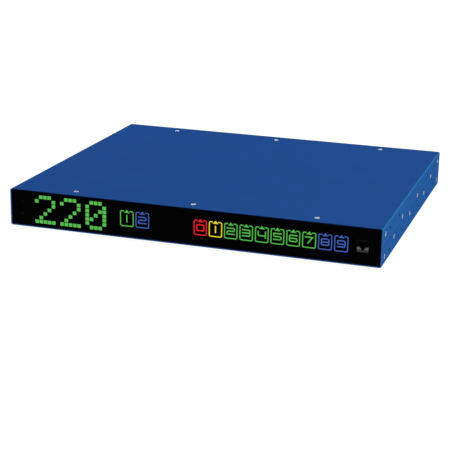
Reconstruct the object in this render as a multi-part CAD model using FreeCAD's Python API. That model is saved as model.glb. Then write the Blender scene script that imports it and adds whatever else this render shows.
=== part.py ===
import FreeCAD, Part
import math
import os

# Remote power control module: a low rack case with a lit front, ten switched outlets and two inlets.
# Millimetres. X runs to the right as seen from the front, Y to the rear and Z up.
# The origin lies on the floor, under the middle of the whole.

# Case: two folded halves that meet on the sides
SHEET = 1.2                     # wall of the case and of both end panels
CASE_BEND = 2.0                 # outer bend radius of the case
CASE_DEPTH = 368.0              # case, front edge to rear edge
SEAM_GAP = 0.4
SLIP = 0.1                      # gap between metal pieces that slide together

# End panels: a front frame and a rear panel with folded lips
PANEL_BEND = 1.6                # outer bend radius of a lip
PANEL_MARGIN = 1.5              # panel edge beyond the tallest connector
LONG_LIP = 20.0                 # top and bottom lips
SHORT_LIP = 6.5                 # side lips
CORNER_RELIEF = 3.0             # square cut out of each corner so that the lips can fold
REAR_RECESS = 0.8               # rear panel inside the rear edge of the case
CUT_CLEARANCE = 0.2             # room round a piece in its cut-out

# Side rails: grooved bars behind the sides
RAIL_THICK = 4.0
RAIL_END = 0.4                  # rail end to the lip beside it
RAIL_CLEARANCE = 0.4            # rail to the nearest connector
GROOVE_WIDTH = 3.3
GROOVE_DEPTH = 3.2

# Countersunk screws and the holes for the rack ears
SCREW_HEAD = 5.6                # head diameter
SCREW_SHANK = 3.1               # shank diameter under the head
SCREW_LENGTH = 4.3
SCREW_SINK = 0.05               # head below the surface
SEAT_CLEARANCE = 0.1            # room round a head or shank
TOP_SCREW_PITCH = 143.4
TOP_SCREW_INSET = 16.2          # from the front and rear edges
END_SCREW_INSET = 14.4
EAR_HOLE = 4.3                  # diameter
EAR_INSET = 39.5                # first ear hole from the front or rear edge
EAR_PITCH = 52.0
EAR_RISE = 25.4                 # between the two rows of ear holes and end screws
SEAM_SCREW_INSET = 65.0         # first seam screw from the edge
SEAM_SCREW_PITCH = 47.6
SEAM_SCREW_STAGGER = 4.8        # seam screws above and below the seam
ROUND_SIDES = 12                # sides of small turned pieces and of the holes for them
ROUNDING = 0.001                # so that a whole number of pitches isn't taken for one less
JOIN = 1e-4                     # flat sides closer than this are joined

# Outlets, in a row from the right-hand end as seen from the front
OUTLET_COUNT = 10
OUTLET_PITCH = 36.3
OUTLET_GAP = 0.4                # between neighbouring flanges
OUTLET_BASE = 3.7               # flange above the floor
OUTLET_HEIGHT = 28.4            # flange height
OUTLET_BODY_WIDTH = 32.0
OUTLET_BODY_HEIGHT = 24.4
OUTLET_WELL_WIDTH = 30.0
OUTLET_WELL_HEIGHT = 21.8
OUTLET_WELL_DEPTH = 17.0
OUTLET_WELL_CANT = 1.4          # bevel of the upper corners
OUTLET_WELL_BEVEL = 6.2         # bevel of the lower corners
OUTLET_MOAT = 3.1               # space between the well's wall and the core
CORE_SINK = 0.4                 # core below the flange
SLOT_WIDTH = 2.6
SLOT_HEIGHT = 4.6
SLOT_SPREAD = 14.0              # between the outer slots
SLOT_DROP = 4.0                 # middle slot below the outer ones
SLOT_RISE = 2.0                 # outer slots above the middle of the flange
CONTACT_STRIP = 0.25            # spring strip thickness
CONTACT_HEIGHT = 3.6
CONTACT_SINK = 3.0              # spring ends below the core
CONTACT_CLEARANCE = 0.05
FLANGE_THICK = 2.0              # flange of an outlet or inlet
CONNECTOR_DEPTH = 22.0          # connector body behind the panel's face
LATCH_WIDTH = 10.0              # snap latch on a connector body
LATCH_HEIGHT = 1.2
LATCH_LENGTH = 6.0

# Inlets, turned on end
INLET_COUNT = 2
INLET_PITCH = 35.2
INLET_GAP = 6.75                # last outlet flange to first inlet flange
INLET_WIDTH = 28.0              # flange
INLET_HEIGHT = 38.0
INLET_BODY_WIDTH = 24.0
INLET_BODY_HEIGHT = 33.6
INLET_WELL_WIDTH = 21.2
INLET_WELL_HEIGHT = 30.9
INLET_WELL_DEPTH = 18.0
INLET_WELL_CANT = 1.6           # bevel of the corners
BLADE_THICK = 2.0
BLADE_WIDTH = 8.0
BLADE_BEVEL = 1.0
BLADE_SPREAD = 13.0             # between the two outer blades
BLADE_OFFSET = 8.0              # earth blade beside them
BLADE_SINK = 3.0                # blade tips below the flange

# Status lights over the outlets
PIPE_RADIUS = 1.7
PIPE_FROM_TOP = 5.2             # axis below the top of the case
PIPE_PROUD = 0.5                # end in front of the panel
PIPE_CLEARANCE = 0.1
LAMP_SIDE = 2.8
LAMP_THICK = 1.9

# Front window and what shows through it
WINDOW_THICK = 3.0
WINDOW_RECESS = 0.2             # window inside the front edge of the case
WINDOW_GAP = 0.2                # window to the case
WINDOW_ROUND = 1.5
DIGIT_COUNT = 3
DOT_COLUMNS = 5
DOT_ROWS = 7
DOT_PITCH_WIDE = 5.29
DOT_PITCH_HIGH = 4.9
DIGITS_FROM_LEFT = 31.1
DIGITS_RISE = 0.4               # digits above the middle of the window
FRAME_STRIP = 0.5               # least strip of frame over a digit
DISPLAY_DEPTH = 8.0             # window to display board
INPUT_ICONS = 2
INPUT_ICON_PITCH = 18.8
INPUT_ICONS_FROM_LEFT = 136.7
OUTPUT_ICONS = 10
OUTPUT_ICON_PITCH = 17.86
OUTPUT_ICONS_FROM_RIGHT = 36.1
ICON_LOW = 11.7                 # light mask, lower and upper edges
ICON_HIGH = 34.2
MASK_WALL = 1.0
ICON_LAMP_SIDE = 3.4
ICON_LAMP_THICK = 2.0
SPACER_FLATS = 4.5
SPACER_INSET = 9.0              # spacer axis from the floor and the top

# Pin-hole buttons
BUTTON_FROM_LEFT = 14.8
BUTTON_LOW = 15.0
BUTTON_RISE = 14.2
BUTTON_HOLE = 2.4
BUTTON_CLEARANCE = 0.3
BUTTON_SINK = 0.9               # button end below the window
BUTTON_COLLAR = 3.4
BUTTON_COLLAR_THICK = 1.0
BUTTON_TRAVEL = 0.4
SWITCH_SIDE = 6.0
SWITCH_THICK = 4.0
SWITCH_FLOOR = 1.0              # wall behind the switch's bore

# Network jack
JACK_FROM_RIGHT = 21.5
JACK_LOW = 15.3
JACK_WIDTH = 13.6
JACK_HEIGHT = 13.6
JACK_DEPTH = 21.0
JACK_SINK = 0.6                 # face below the front edge of the case
JACK_CAVITY_WIDTH = 11.8
JACK_CAVITY_HEIGHT = 6.6
JACK_CAVITY_DEPTH = 14.0
JACK_ROOF = 1.2
JACK_NOTCH_WIDTH = 6.2          # wide step of the notch
JACK_NOTCH_HEIGHT = 1.6
JACK_CLIP_WIDTH = 3.4           # narrow step below it
JACK_CLIP_HEIGHT = 2.2
PIN_COUNT = 8
PIN_PITCH = 1.02
PIN_WIDTH = 0.46
PIN_THICK = 0.35
PIN_FRONT = 3.0                 # pin's front end behind the jack's face
PIN_DROP = 1.7

# Circuit boards
BOARD = 1.6
BOARD_EDGE = 0.5                # board edge to the rail
BOARD_MARGIN = 3.5              # upright board to the floor and the top
CONTROL_WIDTH = 150.0
CONTROL_DEPTH = 95.0
CONTROL_GAP = 1.0               # display board to control board
POWER_LOW = 9.0                 # underside of the power board
POWER_MARGIN = 7.5              # power board beyond its last row of pieces
POWER_GAP = 1.5                 # connector board to power board
POST_FLATS = 6.0
POST_INSET = 12.0

# Pieces on the power board
ROW_GAP = 4.0                   # between rows of pieces
LINK_LENGTH = 8.0
LINK_WIDTH = 6.0
LINK_THICK = 0.8
RELAY_WIDTH = 12.7
RELAY_LENGTH = 29.0
RELAY_HEIGHT = 15.7
SENSOR_WIDTH = 14.0
SENSOR_LENGTH = 9.0
SENSOR_HEIGHT = 18.0
TRANSFERS_PER_INLET = 2
TRANSFER_WIDTH = 22.0
TRANSFER_LENGTH = 30.0
TRANSFER_HEIGHT = 25.0
CHOKE_WIDTH = 20.0
CHOKE_LENGTH = 22.0
CHOKE_HEIGHT = 20.0
SUPPRESSOR_WIDTH = 8.0
SUPPRESSOR_LENGTH = 18.0
SUPPRESSOR_HEIGHT = 15.0
SUPPLY_WIDTH = 27.0
SUPPLY_LENGTH = 50.0
SUPPLY_HEIGHT = 22.0
STRAP_WIDTH = 8.0
STRAP_RISE = 6.5

# Pieces on the control board
PROCESSOR_SIDE = 17.0
PROCESSOR_HEIGHT = 1.5
MEMORY_COUNT = 2
MEMORY_WIDTH = 8.0
MEMORY_LENGTH = 12.0
MEMORY_HEIGHT = 1.1
CELL_RADIUS = 10.0
CELL_THICK = 3.2
HOLDER_WALL = 1.2
BUZZER_RADIUS = 6.0
BUZZER_HEIGHT = 9.0
BACKUP_COUNT = 4
BACKUP_RADIUS = 5.0
BACKUP_HEIGHT = 20.0
PIECE_GAP = 5.0                 # between pieces on the control board
SOCKET_WIDTH = 24.0
SOCKET_SIDE = 8.0
SOCKET_HEIGHT = 6.0
RIBBON_WIDTH = 20.0
RIBBON_THICK = 0.8
RIBBON_BEND = 3.0
RIBBON_TOP = 31.0               # highest part of the ribbon between the boards

# Sizes that follow from those above
SIDE_SPACE = SHEET + SLIP + RAIL_THICK + RAIL_CLEARANCE
OUTLET_WIDTH = OUTLET_PITCH - OUTLET_GAP
OUTLETS_SPAN = (OUTLET_COUNT - 1) * OUTLET_PITCH + (OUTLET_BODY_WIDTH + OUTLET_WIDTH) / 2
INLETS_SPAN = (INLET_COUNT - 1) * INLET_PITCH + (INLET_BODY_WIDTH + INLET_WIDTH) / 2
WIDTH = 2 * SIDE_SPACE + OUTLETS_SPAN + INLET_GAP + INLETS_SPAN
DIGIT_WIDTH = DOT_COLUMNS * DOT_PITCH_WIDE
DIGIT_HEIGHT = DOT_ROWS * DOT_PITCH_HIGH
TALLEST = max(INLET_HEIGHT, DIGIT_HEIGHT + 2 * (DIGITS_RISE + FRAME_STRIP))
HEIGHT = TALLEST + 2 * (SHEET + SLIP + PANEL_MARGIN)
HALF = WIDTH / 2
SEAM_HEIGHT = HEIGHT / 2
EAR_LOW = (HEIGHT - EAR_RISE) / 2
PROUD = FLANGE_THICK - REAR_RECESS
FRONT = -(CASE_DEPTH + PROUD) / 2
REAR = FRONT + CASE_DEPTH
PANEL_FACE = REAR - REAR_RECESS
FLANGE_FACE = PANEL_FACE + FLANGE_THICK
CONNECTOR_BOARD_REAR = PANEL_FACE - CONNECTOR_DEPTH
CONNECTOR_BOARD_FRONT = CONNECTOR_BOARD_REAR - BOARD
WINDOW_FACE = FRONT + WINDOW_RECESS
WINDOW_BACK = WINDOW_FACE + WINDOW_THICK
FRAME_BACK = WINDOW_BACK + SHEET
DISPLAY_BOARD_FRONT = WINDOW_BACK + DISPLAY_DEPTH
DISPLAY_BOARD_BACK = DISPLAY_BOARD_FRONT + BOARD
RAIL_OUTER = HALF - SHEET - SLIP
RAIL_INNER = RAIL_OUTER - RAIL_THICK
BOARD_SIDE = RAIL_INNER - BOARD_EDGE
JACK_X = HALF - JACK_FROM_RIGHT
JACK_FACE = FRONT + JACK_SINK
CONTROL_TOP = JACK_LOW
CONTROL_FRONT = DISPLAY_BOARD_BACK + CONTROL_GAP
CONTROL_REAR = CONTROL_FRONT + CONTROL_DEPTH
CONTROL_LEFT = BOARD_SIDE - CONTROL_WIDTH
POWER_TOP = POWER_LOW + BOARD
POWER_REAR = CONNECTOR_BOARD_FRONT - POWER_GAP
FIRST_ROW = CONNECTOR_BOARD_FRONT - LINK_LENGTH - ROW_GAP
OUTLET_ROWS = RELAY_LENGTH + SENSOR_LENGTH + SUPPLY_LENGTH + 2 * ROW_GAP
TRANSFER_ROWS = TRANSFERS_PER_INLET * (TRANSFER_LENGTH + ROW_GAP)
INLET_ROWS = TRANSFER_ROWS + CHOKE_LENGTH + ROW_GAP + SUPPRESSOR_LENGTH
POWER_FRONT = FIRST_ROW - max(OUTLET_ROWS, INLET_ROWS) - POWER_MARGIN
OUTLET_MIDDLE = OUTLET_BASE + OUTLET_HEIGHT / 2
FIRST_OUTLET = HALF - SIDE_SPACE - OUTLET_BODY_WIDTH / 2
OUTLET_PLACES = [FIRST_OUTLET - number * OUTLET_PITCH for number in range(OUTLET_COUNT)]
FIRST_INLET = OUTLET_PLACES[-1] - OUTLET_WIDTH / 2 - INLET_GAP - INLET_WIDTH / 2
INLET_PLACES = [FIRST_INLET - number * INLET_PITCH for number in range(INLET_COUNT)]


def vector(x, y, z):
    return FreeCAD.Vector(x, y, z)


ALONG_X = vector(1, 0, 0)
ALONG_Y = vector(0, 1, 0)
ALONG_Z = vector(0, 0, 1)


# Planes that a profile can lie in, each with the direction that it is extruded in
def from_front(u, v):
    return vector(u, 0, v)


def from_side(u, v):
    return vector(0, u, v)


def from_above(u, v):
    return vector(u, v, 0)


NORMALS = {from_front: ALONG_Y, from_side: ALONG_X, from_above: ALONG_Z}


def outline(corners, plane):
    """Closed wire through corners of (u, v, radius), each rounded by a tangent arc of its radius."""
    arcs = []
    for index, (u, v, radius) in enumerate(corners):
        here = vector(u, v, 0)
        before = vector(*corners[index - 1][:2], 0) - here
        after = vector(*corners[(index + 1) % len(corners)][:2], 0) - here
        before.normalize()
        after.normalize()
        half_angle = before.getAngle(after) / 2
        reach = radius / math.tan(half_angle)
        inwards = (before + after).normalize()
        middle = here + inwards * (radius / math.sin(half_angle) - radius)
        arcs.append((here + before * reach, middle, here + after * reach))
    edges = []
    for index, (start, middle, end) in enumerate(arcs):
        if corners[index][2] > 0:
            arc = Part.Arc(plane(start.x, start.y), plane(middle.x, middle.y), plane(end.x, end.y))
            edges.append(arc.toShape())
        following = arcs[(index + 1) % len(arcs)][0]
        line = Part.LineSegment(plane(end.x, end.y), plane(following.x, following.y))
        edges.append(line.toShape())
    return Part.Wire(edges)


def extrude(corners, plane, low, high):
    """Solid of a profile, drawn in a plane and running from low to high across it."""
    normal = NORMALS[plane]
    face = Part.Face(outline(corners, plane))
    face.translate(normal * low)
    return face.extrude(normal * (high - low))


def rectangle(middle_u, middle_v, width, height, radius=0):
    """Corners of a rectangle, all with one radius."""
    left = middle_u - width / 2
    right = middle_u + width / 2
    low = middle_v - height / 2
    high = middle_v + height / 2
    return [(left, low, radius), (right, low, radius), (right, high, radius), (left, high, radius)]


def block(x, y, z):
    """Box between pairs of limits."""
    corner = vector(x[0], y[0], z[0])
    return Part.makeBox(x[1] - x[0], y[1] - y[0], z[1] - z[0], corner)


def standing(x, y, width, length, low, height):
    """Box that stands on a board, about a point."""
    return block((x - width / 2, x + width / 2), (y - length / 2, y + length / 2), (low, low + height))


def hexagon(u, v, flats, plane, low, high):
    """Hexagonal bar about a point of a plane."""
    reach = flats / math.sqrt(3)
    turns = [math.radians(60 * step) for step in range(6)]
    corners = [(u + reach * math.cos(turn), v + reach * math.sin(turn), 0) for turn in turns]
    return extrude(corners, plane, low, high)


def ring(point, axis, radius):
    """Corners of an even polygon round an axis."""
    first = axis.cross(ALONG_X if abs(axis.x) < 0.5 else ALONG_Y)
    second = axis.cross(first)
    turns = [2 * math.pi * step / ROUND_SIDES for step in range(ROUND_SIDES)]
    return [point + (first * math.cos(turn) + second * math.sin(turn)) * radius for turn in turns]


def turned(point, axis, stations):
    """Small turned piece with flat sides, through stations of (distance along the axis, radius)."""
    rings = [ring(point + axis * along, axis, radius) for along, radius in stations]
    faces = []
    for (near, far), (start, end) in zip(zip(rings, rings[1:]), zip(stations, stations[1:])):
        for step in range(ROUND_SIDES):
            corners = [near[step - 1], near[step], far[step], far[step - 1]]
            if end[1] == 0:
                corners = [near[step - 1], near[step], far[step]]
            faces.append(Part.Face(Part.makePolygon(corners + corners[:1])))
    for corners, radius in ((rings[0], stations[0][1]), (rings[-1], stations[-1][1])):
        if radius > 0:
            faces.append(Part.Face(Part.makePolygon(corners + corners[:1])))
    solid = Part.Solid(Part.Shell(faces))
    solid.fix(JOIN, JOIN, JOIN)
    return solid


def turned_rod(point, axis, diameter, length):
    return turned(point, axis, [(0, diameter / 2), (length, diameter / 2)])


def save(node, solids):
    """Writes one node, a single solid or a group of like ones."""
    shape = solids[0] if len(solids) == 1 else Part.makeCompound(solids)
    shape.exportStep("parts/" + node + ".step")


# Screws and holes, at a point of an outer face and running inwards
def screw(point, inwards):
    stations = [(SCREW_SINK, SCREW_HEAD / 2), (SHEET, SCREW_SHANK / 2), (SCREW_LENGTH, 0)]
    return turned(point, inwards, stations)


def countersink(point, inwards):
    outer = SCREW_HEAD / 2 + SEAT_CLEARANCE
    inner = SCREW_SHANK / 2 + SEAT_CLEARANCE
    return turned(point, inwards, [(0, outer), (SHEET, inner)])


def ear_hole(point, inwards):
    return Part.makeCylinder(EAR_HOLE / 2, SHEET, point, inwards)


def top_screw_points():
    columns = [-TOP_SCREW_PITCH, 0, TOP_SCREW_PITCH]
    rows = [FRONT + TOP_SCREW_INSET, REAR - TOP_SCREW_INSET]
    return [vector(x, y, HEIGHT) for x in columns for y in rows]


def side_point(side, along, height):
    """Point on a side face. It is measured from the front on the right and from the rear on the left."""
    y = FRONT + along if side > 0 else REAR - along
    return vector(side * HALF, y, height)


def ear_heights():
    return [EAR_LOW, EAR_LOW + EAR_RISE]


def seam_heights():
    return [SEAM_HEIGHT - SEAM_SCREW_STAGGER, SEAM_HEIGHT + SEAM_SCREW_STAGGER]


def side_screw_points(side):
    ends = [END_SCREW_INSET, CASE_DEPTH - END_SCREW_INSET]
    points = [side_point(side, along, height) for along in ends for height in ear_heights()]
    spaces = int((CASE_DEPTH - 2 * SEAM_SCREW_INSET) / SEAM_SCREW_PITCH + ROUNDING)
    for number in range(spaces + 1):
        along = SEAM_SCREW_INSET + number * SEAM_SCREW_PITCH
        points.append(side_point(side, along, seam_heights()[number % 2]))
    return points


def ear_points(side):
    near = [EAR_INSET, EAR_INSET + EAR_PITCH]
    places = near + [CASE_DEPTH - along for along in near]
    return [side_point(side, along, height) for along in places for height in ear_heights()]


# Case halves: a channel folded from one sheet, closed side up or down
def case_half(seam, closed):
    step = SHEET if closed > seam else -SHEET
    inner_bend = CASE_BEND - SHEET
    profile = [
        (-HALF, seam, 0),
        (-HALF, closed, CASE_BEND),
        (HALF, closed, CASE_BEND),
        (HALF, seam, 0),
        (HALF - SHEET, seam, 0),
        (HALF - SHEET, closed - step, inner_bend),
        (-HALF + SHEET, closed - step, inner_bend),
        (-HALF + SHEET, seam, 0),
    ]
    return extrude(profile, from_front, FRONT, REAR)


def side_cuts():
    cuts = []
    for side in (-1, 1):
        inwards = ALONG_X * -side
        cuts += [countersink(point, inwards) for point in side_screw_points(side)]
        cuts += [ear_hole(point, inwards) for point in ear_points(side)]
    return cuts


def make_case():
    top_cuts = [countersink(point, -ALONG_Z) for point in top_screw_points()]
    upper = [cut for cut in side_cuts() if cut.BoundBox.ZMin > SEAM_HEIGHT]
    lower = [cut for cut in side_cuts() if cut.BoundBox.ZMax < SEAM_HEIGHT]
    save("upper_shell", [case_half(SEAM_HEIGHT + SEAM_GAP / 2, HEIGHT).cut(upper + top_cuts)])
    save("lower_shell", [case_half(SEAM_HEIGHT - SEAM_GAP / 2, 0).cut(lower)])
    save("top_screws", [screw(point, -ALONG_Z) for point in top_screw_points()])
    left = [screw(point, ALONG_X) for point in side_screw_points(-1)]
    right = [screw(point, -ALONG_X) for point in side_screw_points(1)]
    save("side_screws", left + right)


# Side rails: one extruded section, with a groove along each row of screws
def make_rails():
    low = 2 * (SHEET + SLIP)
    high = HEIGHT - low
    start = WINDOW_BACK + SHORT_LIP + RAIL_END
    end = PANEL_FACE - SHORT_LIP - RAIL_END
    floor = RAIL_OUTER - GROOVE_DEPTH
    for node, side in (("left_rail", -1), ("right_rail", 1)):
        section = [(side * RAIL_INNER, high, 0), (side * RAIL_INNER, low, 0), (side * RAIL_OUTER, low, 0)]
        for height in sorted(ear_heights() + seam_heights()):
            section.append((side * RAIL_OUTER, height - GROOVE_WIDTH / 2, 0))
            section.append((side * floor, height - GROOVE_WIDTH / 2, 0))
            section.append((side * floor, height + GROOVE_WIDTH / 2, 0))
            section.append((side * RAIL_OUTER, height + GROOVE_WIDTH / 2, 0))
        section.append((side * RAIL_OUTER, high, 0))
        save(node, [extrude(section, from_front, start, end)])


# End panels: a flat face with four lips folded away from it, and square corner reliefs
def channel(face, depth, inwards, low, high):
    """Corners of a folded channel: u across the panel's face, v along it."""
    inner_bend = PANEL_BEND - SHEET
    end = face + inwards * depth
    back = face + inwards * SHEET
    return [
        (end, high, 0),
        (face, high, PANEL_BEND),
        (face, low, PANEL_BEND),
        (end, low, 0),
        (end, low + SHEET, 0),
        (back, low + SHEET, inner_bend),
        (back, high - SHEET, inner_bend),
        (end, high - SHEET, 0),
    ]


def folded_panel(face, inwards):
    side = HALF - SHEET - SLIP
    low = SHEET + SLIP
    high = HEIGHT - SHEET - SLIP
    tall = channel(face, LONG_LIP, inwards, low, high)
    wide = [(v, u, radius) for u, v, radius in channel(face, SHORT_LIP, inwards, -side, side)]
    upright = extrude(tall, from_side, -side + CORNER_RELIEF, side - CORNER_RELIEF)
    across = extrude(wide, from_above, low + CORNER_RELIEF, high - CORNER_RELIEF)
    return upright.fuse(across).removeSplitter()


def through_panel(corners, face, inwards):
    """Cut-out right through a panel's face."""
    limits = sorted((face - inwards, face + inwards * 2 * SHEET))
    return extrude(corners, from_front, limits[0], limits[1])


def make_rear_panel():
    cuts = []
    room = 2 * CUT_CLEARANCE
    for x in OUTLET_PLACES:
        body = rectangle(x, OUTLET_MIDDLE, OUTLET_BODY_WIDTH + room, OUTLET_BODY_HEIGHT + room)
        cuts.append(through_panel(body, PANEL_FACE, -1))
        light = vector(x, PANEL_FACE - 2 * SHEET, HEIGHT - PIPE_FROM_TOP)
        cuts.append(turned_rod(light, ALONG_Y, 2 * (PIPE_RADIUS + PIPE_CLEARANCE), 4 * SHEET))
    for x in INLET_PLACES:
        body = rectangle(x, HEIGHT / 2, INLET_BODY_WIDTH + room, INLET_BODY_HEIGHT + room)
        cuts.append(through_panel(body, PANEL_FACE, -1))
    cuts += lip_holes()
    save("rear_panel", [folded_panel(PANEL_FACE, -1).cut(cuts)])


def lip_holes():
    diameter = SCREW_SHANK + 2 * SEAT_CLEARANCE
    return [turned_rod(point, -ALONG_Z, diameter, 3 * SHEET) for point in top_screw_points()]


# Outlets: flange, body with snap latches, and a well round a core with three slots
def bevelled(x, z, width, height, high_bevel, low_bevel):
    """Corners of a well or core, with a bevel at its upper corners and another at its lower ones."""
    left = x - width / 2
    right = x + width / 2
    low = z - height / 2
    high = z + height / 2
    return [
        (left + high_bevel, high, 0),
        (left, high - high_bevel, 0),
        (left, low + low_bevel, 0),
        (left + low_bevel, low, 0),
        (right - low_bevel, low, 0),
        (right, low + low_bevel, 0),
        (right, high - high_bevel, 0),
        (right - high_bevel, high, 0),
    ]


def latches(x, low, high):
    """Wedges over and under a connector body that snap in behind the panel."""
    hook = PANEL_FACE - SHEET - CUT_CLEARANCE
    over = [(hook, high, 0), (hook, high + LATCH_HEIGHT, 0), (hook - LATCH_LENGTH, high, 0)]
    under = [(hook, low, 0), (hook, low - LATCH_HEIGHT, 0), (hook - LATCH_LENGTH, low, 0)]
    limits = (x - LATCH_WIDTH / 2, x + LATCH_WIDTH / 2)
    return [extrude(wedge, from_side, *limits) for wedge in (over, under)]


def slot_places(x):
    outer = OUTLET_MIDDLE + SLOT_RISE
    return [(x - SLOT_SPREAD / 2, outer), (x, outer - SLOT_DROP), (x + SLOT_SPREAD / 2, outer)]


def outlet(x):
    flange_profile = rectangle(x, OUTLET_MIDDLE, OUTLET_WIDTH, OUTLET_HEIGHT)
    flange = extrude(flange_profile, from_front, PANEL_FACE, FLANGE_FACE)
    body_profile = rectangle(x, OUTLET_MIDDLE, OUTLET_BODY_WIDTH, OUTLET_BODY_HEIGHT)
    body = extrude(body_profile, from_front, CONNECTOR_BOARD_REAR, PANEL_FACE)
    low = OUTLET_MIDDLE - OUTLET_BODY_HEIGHT / 2
    high = OUTLET_MIDDLE + OUTLET_BODY_HEIGHT / 2
    housing = flange.fuse([body] + latches(x, low, high))
    well_floor = FLANGE_FACE - OUTLET_WELL_DEPTH
    well_profile = bevelled(
        x, OUTLET_MIDDLE, OUTLET_WELL_WIDTH, OUTLET_WELL_HEIGHT, OUTLET_WELL_CANT, OUTLET_WELL_BEVEL)
    well = extrude(well_profile, from_front, well_floor, FLANGE_FACE)
    core_width = OUTLET_WELL_WIDTH - 2 * OUTLET_MOAT
    core_height = OUTLET_WELL_HEIGHT - 2 * OUTLET_MOAT
    core_bevel = OUTLET_WELL_BEVEL - (2 - math.sqrt(2)) * OUTLET_MOAT
    core_profile = bevelled(x, OUTLET_MIDDLE, core_width, core_height, OUTLET_WELL_CANT / 2, core_bevel)
    core = extrude(core_profile, from_front, well_floor, FLANGE_FACE - CORE_SINK)
    slots = []
    for slot_x, slot_z in slot_places(x):
        slot = rectangle(slot_x, slot_z, SLOT_WIDTH, SLOT_HEIGHT)
        slots.append(extrude(slot, from_front, CONNECTOR_BOARD_REAR, FLANGE_FACE))
    return housing.cut(well).fuse(core).removeSplitter().cut(slots)


def outlet_contact(x, z):
    """Spring strip folded to a U, with its two leaves along the sides of a slot."""
    reach = SLOT_WIDTH / 2 - CONTACT_CLEARANCE
    back = CONNECTOR_BOARD_REAR
    tip = FLANGE_FACE - CORE_SINK - CONTACT_SINK
    strip = [
        (x - reach, back, 0),
        (x + reach, back, 0),
        (x + reach, tip, 0),
        (x + reach - CONTACT_STRIP, tip, 0),
        (x + reach - CONTACT_STRIP, back + CONTACT_STRIP, 0),
        (x - reach + CONTACT_STRIP, back + CONTACT_STRIP, 0),
        (x - reach + CONTACT_STRIP, tip, 0),
        (x - reach, tip, 0),
    ]
    return extrude(strip, from_above, z - CONTACT_HEIGHT / 2, z + CONTACT_HEIGHT / 2)


def make_outlets():
    contacts = []
    for number, x in enumerate(OUTLET_PLACES):
        save("outlet_" + str(number), [outlet(x)])
        contacts += [outlet_contact(*place) for place in slot_places(x)]
    save("outlet_contacts", contacts)


# Inlets: flange and body with one deep well, and three blades through its floor
def blade_places(x):
    middle = HEIGHT / 2
    return [
        (x - BLADE_OFFSET / 2, middle - BLADE_SPREAD / 2),
        (x - BLADE_OFFSET / 2, middle + BLADE_SPREAD / 2),
        (x + BLADE_OFFSET / 2, middle),
    ]


def inlet(x):
    middle = HEIGHT / 2
    flange = extrude(rectangle(x, middle, INLET_WIDTH, INLET_HEIGHT), from_front, PANEL_FACE, FLANGE_FACE)
    body_profile = rectangle(x, middle, INLET_BODY_WIDTH, INLET_BODY_HEIGHT)
    body = extrude(body_profile, from_front, CONNECTOR_BOARD_REAR, PANEL_FACE)
    low = middle - INLET_BODY_HEIGHT / 2
    high = middle + INLET_BODY_HEIGHT / 2
    housing = flange.fuse([body] + latches(x, low, high))
    well_profile = bevelled(
        x, middle, INLET_WELL_WIDTH, INLET_WELL_HEIGHT, INLET_WELL_CANT, INLET_WELL_CANT)
    cuts = [extrude(well_profile, from_front, FLANGE_FACE - INLET_WELL_DEPTH, FLANGE_FACE)]
    for blade_x, blade_z in blade_places(x):
        hole = rectangle(blade_x, blade_z, BLADE_THICK, BLADE_WIDTH)
        cuts.append(extrude(hole, from_front, CONNECTOR_BOARD_REAR, FLANGE_FACE))
    return housing.removeSplitter().cut(cuts)


def blade(x, z):
    """Flat pin with a bevelled tip."""
    tip = FLANGE_FACE - BLADE_SINK
    low = z - BLADE_WIDTH / 2
    high = z + BLADE_WIDTH / 2
    profile = [
        (CONNECTOR_BOARD_REAR, low, 0),
        (tip - BLADE_BEVEL, low, 0),
        (tip, low + BLADE_BEVEL, 0),
        (tip, high - BLADE_BEVEL, 0),
        (tip - BLADE_BEVEL, high, 0),
        (CONNECTOR_BOARD_REAR, high, 0),
    ]
    return extrude(profile, from_side, x - BLADE_THICK / 2, x + BLADE_THICK / 2)


def make_inlets():
    blades = []
    for number, x in enumerate(INLET_PLACES):
        save("inlet_" + str(number + 1), [inlet(x)])
        blades += [blade(*place) for place in blade_places(x)]
    save("inlet_blades", blades)


# Connector board behind the outlets and inlets, with a lamp and a light pipe for each outlet
def make_connector_board():
    limits = (BOARD_MARGIN, HEIGHT - BOARD_MARGIN)
    side = (-BOARD_SIDE, BOARD_SIDE)
    save("connector_board", [block(side, (CONNECTOR_BOARD_FRONT, CONNECTOR_BOARD_REAR), limits)])
    lamps = []
    pipes = []
    height = HEIGHT - PIPE_FROM_TOP
    lamp_face = CONNECTOR_BOARD_REAR + LAMP_THICK
    for x in OUTLET_PLACES:
        square = rectangle(x, height, LAMP_SIDE, LAMP_SIDE)
        lamps.append(extrude(square, from_front, CONNECTOR_BOARD_REAR, lamp_face))
        start = vector(x, lamp_face + PIPE_CLEARANCE, height)
        length = PANEL_FACE + PIPE_PROUD - start.y
        pipes.append(turned_rod(start, ALONG_Y, 2 * PIPE_RADIUS, length))
    save("outlet_lamps", lamps)
    save("light_pipes", pipes)
    links = []
    rise = POWER_TOP + LINK_LENGTH
    for x in OUTLET_PLACES + INLET_PLACES:
        link = angle_strip(CONNECTOR_BOARD_FRONT - LINK_LENGTH, POWER_TOP, rise)
        links.append(extrude(link, from_side, x - LINK_WIDTH / 2, x + LINK_WIDTH / 2))
    save("board_links", links)
    strap = angle_strip(CONNECTOR_BOARD_FRONT - 2 * LINK_LENGTH, SHEET, SHEET + STRAP_RISE)
    middle = (OUTLET_PLACES[-1] + INLET_PLACES[0]) / 2
    save("earth_strap", [extrude(strap, from_side, middle - STRAP_WIDTH / 2, middle + STRAP_WIDTH / 2)])


def angle_strip(start, low, high):
    """Corners of a strip bent to an L, flat on a board or floor and upright on the connector board."""
    end = CONNECTOR_BOARD_FRONT
    return [
        (start, low, 0),
        (end, low, 0),
        (end, high, 0),
        (end - LINK_THICK, high, 0),
        (end - LINK_THICK, low + LINK_THICK, 0),
        (start, low + LINK_THICK, 0),
    ]


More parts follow.
